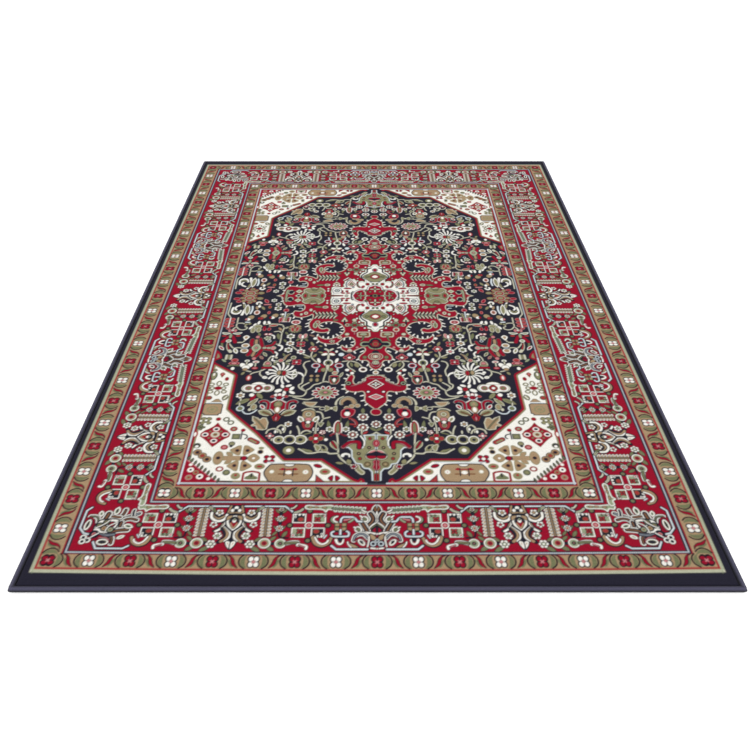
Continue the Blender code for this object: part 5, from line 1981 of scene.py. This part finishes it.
class RUG_OT_pile(bpy.types.Operator):
    """Cut pile in the drawn design, one piece for each region and four for the field"""

    bl_idname = "rug.pile"
    bl_label = "Pile"

    def execute(self, context):
        lattice = Lattice(context.scene.rug_pile)
        sheet = drawn_design(context.scene)
        middle_row, middle_column = lattice.rows // 2, lattice.columns // 2
        for index, node in enumerate(lattice.names):
            mask = lattice.owner == index
            if not mask.any():
                raise RuntimeError(f"no tufts stand on {node}")
            slot = PILE_SLOTS[pile_kind(node)]
            if node != "pile_field":
                add_pile_piece(node.replace("pile_", "tufts_"), lattice, mask, sheet, slot, node)
                continue
            ends = {"front": slice(0, middle_row), "back": slice(middle_row, None)}
            sides = {"left": slice(0, middle_column), "right": slice(middle_column, None)}
            for end, rows in ends.items():
                for side, columns in sides.items():
                    quarter = np.zeros_like(mask)
                    quarter[rows, columns] = mask[rows, columns]
                    add_pile_piece(f"tufts_field_{end}_{side}", lattice, quarter, sheet, slot, node)
        return {"FINISHED"}


# ---------------------------------------------------------------- the ground weave

GROUND_NODES = ("latex_back_coat", "jute_weft_layer", "warp_yarn_layer")
GROUND_CELL = 0.0068
GROUND_SWELL = 0.0005
# how the pile's colours show through to the back
GHOST_PALENESS = 0.25
GHOST_STRENGTH = 0.5


class RUG_OT_ground(bpy.types.Operator):
    """The woven ground that the pile stands in, with its jute back"""

    bl_idname = "rug.ground"
    bl_label = "Ground weave"

    def execute(self, context):
        low = Vector(min(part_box(node)[0][k] for node in GROUND_NODES) for k in range(3))
        high = Vector(max(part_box(node)[1][k] for node in GROUND_NODES) for k in range(3))
        columns = round((high.x - low.x) / GROUND_CELL)
        rows = round((high.y - low.y) / GROUND_CELL)
        piece, along, across = add_grid("ground_weave", rows, columns)
        luck = np.random.default_rng(context.scene.rug_pile.seed)
        swell = luck.random((rows + 1, columns + 1)) * GROUND_SWELL
        ribs = (1 - np.cos(np.arange(rows + 1) * math.pi))[:, None] * GROUND_SWELL / 4
        back = (low.z + swell + ribs)[along, across]
        x = low.x + (high.x - low.x) * across / columns
        y = low.y + (high.y - low.y) * along / rows
        place_vertices(piece, np.stack((x, y, back), 1))
        close_below(piece, high.z)
        places = vertices_of(piece)
        design = sampled(drawn_design(context.scene), places[:, 0], places[:, 1])
        tint_vertices(piece, "ghost", GHOST_PALENESS + GHOST_STRENGTH * design)
        finish_piece(piece, ground_material(), "jute_weft", *GROUND_NODES)
        return {"FINISHED"}


# ---------------------------------------------------------------- the serged edge

ROUND_STEPS = 12
WRAP_STEPS = 4
# 2 is a round section, and more is squarer
SECTION_POWER = 2.4
GROOVE_ROUNDNESS = 0.7
# how nearly the edge's corner is filled out square
FULL_CORNER = 0.8


def edge_line(half_width, half_length, corner, step):
    """Points, headings and run lengths along the front side's share of the edge, corner to corner."""
    straight = half_width - corner
    arc = corner * math.pi / 4
    total = 2 * (straight + arc)
    count = round(total / step)
    s = np.linspace(-total / 2, total / 2, count + 1)
    beyond = np.clip(np.abs(s) - straight, 0, None)
    turn = beyond / corner
    x = np.sign(s) * (np.minimum(np.abs(s), straight) + corner * np.sin(turn))
    y = -half_length + corner * (1 - np.cos(turn))
    return x, y, np.sign(s) * turn, s


class RUG_OT_serging(bpy.types.Operator):
    """Navy yarn wound over the edge, one piece for each side"""

    bl_idname = "rug.serging"
    bl_label = "Serged edge"

    def execute(self, context):
        sizes = context.scene.rug_edge
        inner = pile_box()
        outer_low, outer_high = (Vector(corner) for corner in CAD_BOX)
        half_section = (outer_high.x - inner[1][0]) / 2
        material = serging_material(tuple(context.scene.rug_yarns.navy), half_section * math.pi)
        half_height = (outer_high.z - outer_low.z) / 2
        half_width = outer_high.x - half_section
        half_length = outer_high.y - half_section
        for quarter, side in enumerate(SIDES):
            spans = (half_width, half_length) if quarter % 2 == 0 else (half_length, half_width)
            x, y, heading, s = edge_line(*spans, sizes.corner, sizes.wrap / WRAP_STEPS)
            piece, along, around = add_grid(f"serging_{side}", len(s) - 1, ROUND_STEPS)
            angle = around * math.tau / ROUND_STEPS
            cosine, sine = np.cos(angle), np.sin(angle)
            phase = s[along] / sizes.wrap + around / ROUND_STEPS * sizes.lean
            pull = sizes.groove * (1 - np.abs(np.cos(math.pi * phase))) ** GROOVE_ROUNDNESS
            outward = half_section * (1 + FULL_CORNER * (1 / np.cos(heading) - 1))
            inward = np.minimum(half_section, spans[0] - sizes.corner - np.abs(s) + half_section)
            inward = np.clip(inward, sizes.corner - LIFT_OFF, half_section)
            reach = np.where(cosine > 0, outward[along], inward[along]) - pull
            out = np.sign(cosine) * np.abs(cosine) ** (2 / SECTION_POWER) * reach
            up = np.sign(sine) * np.abs(sine) ** (2 / SECTION_POWER) * (half_height - pull)
            px = x[along] + np.sin(heading[along]) * out
            py = y[along] - np.cos(heading[along]) * out
            turn = quarter * math.pi / 2
            places = np.stack((
                px * math.cos(turn) - py * math.sin(turn),
                px * math.sin(turn) + py * math.cos(turn),
                outer_low.z + half_height + up,
            ), 1)
            place_vertices(piece, places)
            self.lay_out(piece, s[along], around * half_section * math.pi / ROUND_STEPS)
            bpy.ops.object.mode_set(mode="EDIT")
            bpy.ops.mesh.select_all(action="SELECT")
            bpy.ops.mesh.remove_doubles(threshold=LIFT_OFF / 5)
            bpy.ops.mesh.select_mode(type="EDGE")
            bpy.ops.mesh.select_all(action="DESELECT")
            bpy.ops.mesh.select_non_manifold(
                extend=False, use_wire=False, use_boundary=True, use_multi_face=False,
                use_non_contiguous=False, use_verts=False,
            )
            bpy.ops.mesh.edge_face_add()
            bpy.ops.mesh.select_all(action="SELECT")
            bpy.ops.mesh.normals_make_consistent(inside=False)
            bpy.ops.object.mode_set(mode="OBJECT")
            bpy.ops.object.shade_smooth_by_angle(angle=math.radians(70))
            finish_piece(piece, material, "serging_yarn", f"serging_wrap_{side}")
        return {"FINISHED"}

    @staticmethod
    def lay_out(piece, along, around):
        """A UV map in metres along the edge and round it."""
        mesh = piece.data
        while mesh.uv_layers:
            mesh.uv_layers.remove(mesh.uv_layers[0])
        layer = mesh.uv_layers.new(name="wound")
        corners = np.zeros(len(mesh.loops), np.int32)
        mesh.loops.foreach_get("vertex_index", corners)
        places = np.stack((along[corners], around[corners]), 1)
        layer.data.foreach_set("uv", places.astype(np.float32).ravel())


class RUG_OT_cords(bpy.types.Operator):
    """Cotton finish for the cords inside the edge"""

    bl_idname = "rug.cords"
    bl_label = "Edge cords"

    def execute(self, context):
        material = cord_material()
        for side in SIDES:
            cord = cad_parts[f"edge_cord_{side}"]
            cord.data.materials.clear()
            cord.data.materials.append(material)
        return {"FINISHED"}


# ---------------------------------------------------------------- the stage

FLOOR_SIZE = 14.0
FLOOR_GAP = 0.0003
LAMP_PLACE = (0, -2, 4)
LAMP_TURN = (math.radians(38), math.radians(-6), 0)
LAMP_WIDTH = math.radians(50)
SENSOR_WIDTH = 36
CLIP_NEAR, CLIP_FAR = 0.02, 100


class RUG_OT_stage(bpy.types.Operator):
    """A plain pale floor, soft light and the camera"""

    bl_idname = "rug.stage"
    bl_label = "Floor, light and camera"

    def execute(self, context):
        sizes = context.scene.rug_stage
        low = Vector(CAD_BOX[0])
        deselect()
        bpy.ops.mesh.primitive_plane_add(size=FLOOR_SIZE, location=(0, 0, low.z - FLOOR_GAP))
        floor = added("floor")
        settle(floor)
        floor.data.materials.append(floor_material(sizes.floor))
        world = bpy.data.worlds.new("soft daylight")
        world.use_nodes = True
        world.node_tree.nodes["Background"].inputs["Color"].default_value = (1, 1, 1, 1)
        world.node_tree.nodes["Background"].inputs["Strength"].default_value = sizes.sky
        context.scene.world = world
        bpy.ops.object.light_add(type="SUN", location=LAMP_PLACE, rotation=LAMP_TURN)
        lamp = bpy.context.active_object
        lamp.name = "soft lamp"
        lamp.data.energy = sizes.lamp
        lamp.data.angle = LAMP_WIDTH
        spot = (sizes.aside, low.y - sizes.back_off, sizes.height)
        bpy.ops.object.camera_add(location=spot, rotation=(sizes.tilt, 0, 0))
        camera = bpy.context.active_object
        camera.name = "camera"
        camera.data.lens = sizes.lens
        camera.data.shift_x = sizes.shift
        camera.data.sensor_width = SENSOR_WIDTH
        camera.data.clip_start = CLIP_NEAR
        camera.data.clip_end = CLIP_FAR
        context.scene.camera = camera
        context.scene.view_settings.view_transform = "Standard"
        return {"FINISHED"}


# ---------------------------------------------------------------- the panel


class RUG_PT_build(bpy.types.Panel):
    """Builds the rug piece by piece"""

    bl_label = "Woven area rug"
    bl_idname = "RUG_PT_build"
    bl_space_type = "VIEW_3D"
    bl_region_type = "UI"
    bl_category = "Rug"

    def draw(self, context):
        column = self.layout.column()
        for operator in OPERATORS:
            column.operator(operator.bl_idname)
        for name, group in GROUPS.items():
            box = self.layout.box()
            for field in group.__annotations__:
                box.prop(getattr(context.scene, name), field)


OPERATORS = (RUG_OT_stage, RUG_OT_pile, RUG_OT_ground, RUG_OT_serging, RUG_OT_cords)
GROUPS = {
    "rug_yarns": RUG_PG_yarns,
    "rug_pile": RUG_PG_pile,
    "rug_edge": RUG_PG_edge,
    "rug_stage": RUG_PG_stage,
}


def register():
    for made in (*GROUPS.values(), *OPERATORS, RUG_PT_build):
        bpy.utils.register_class(made)
    for name, group in GROUPS.items():
        setattr(bpy.types.Scene, name, PointerProperty(type=group))


def unregister():
    for name in GROUPS:
        delattr(bpy.types.Scene, name)
    for made in reversed((*GROUPS.values(), *OPERATORS, RUG_PT_build)):
        bpy.utils.unregister_class(made)


def main():
    register()
    bpy.ops.rug.stage()
    bpy.ops.rug.pile()
    bpy.ops.rug.ground()
    bpy.ops.rug.serging()
    bpy.ops.rug.cords()


if __name__ == "__main__":
    main()
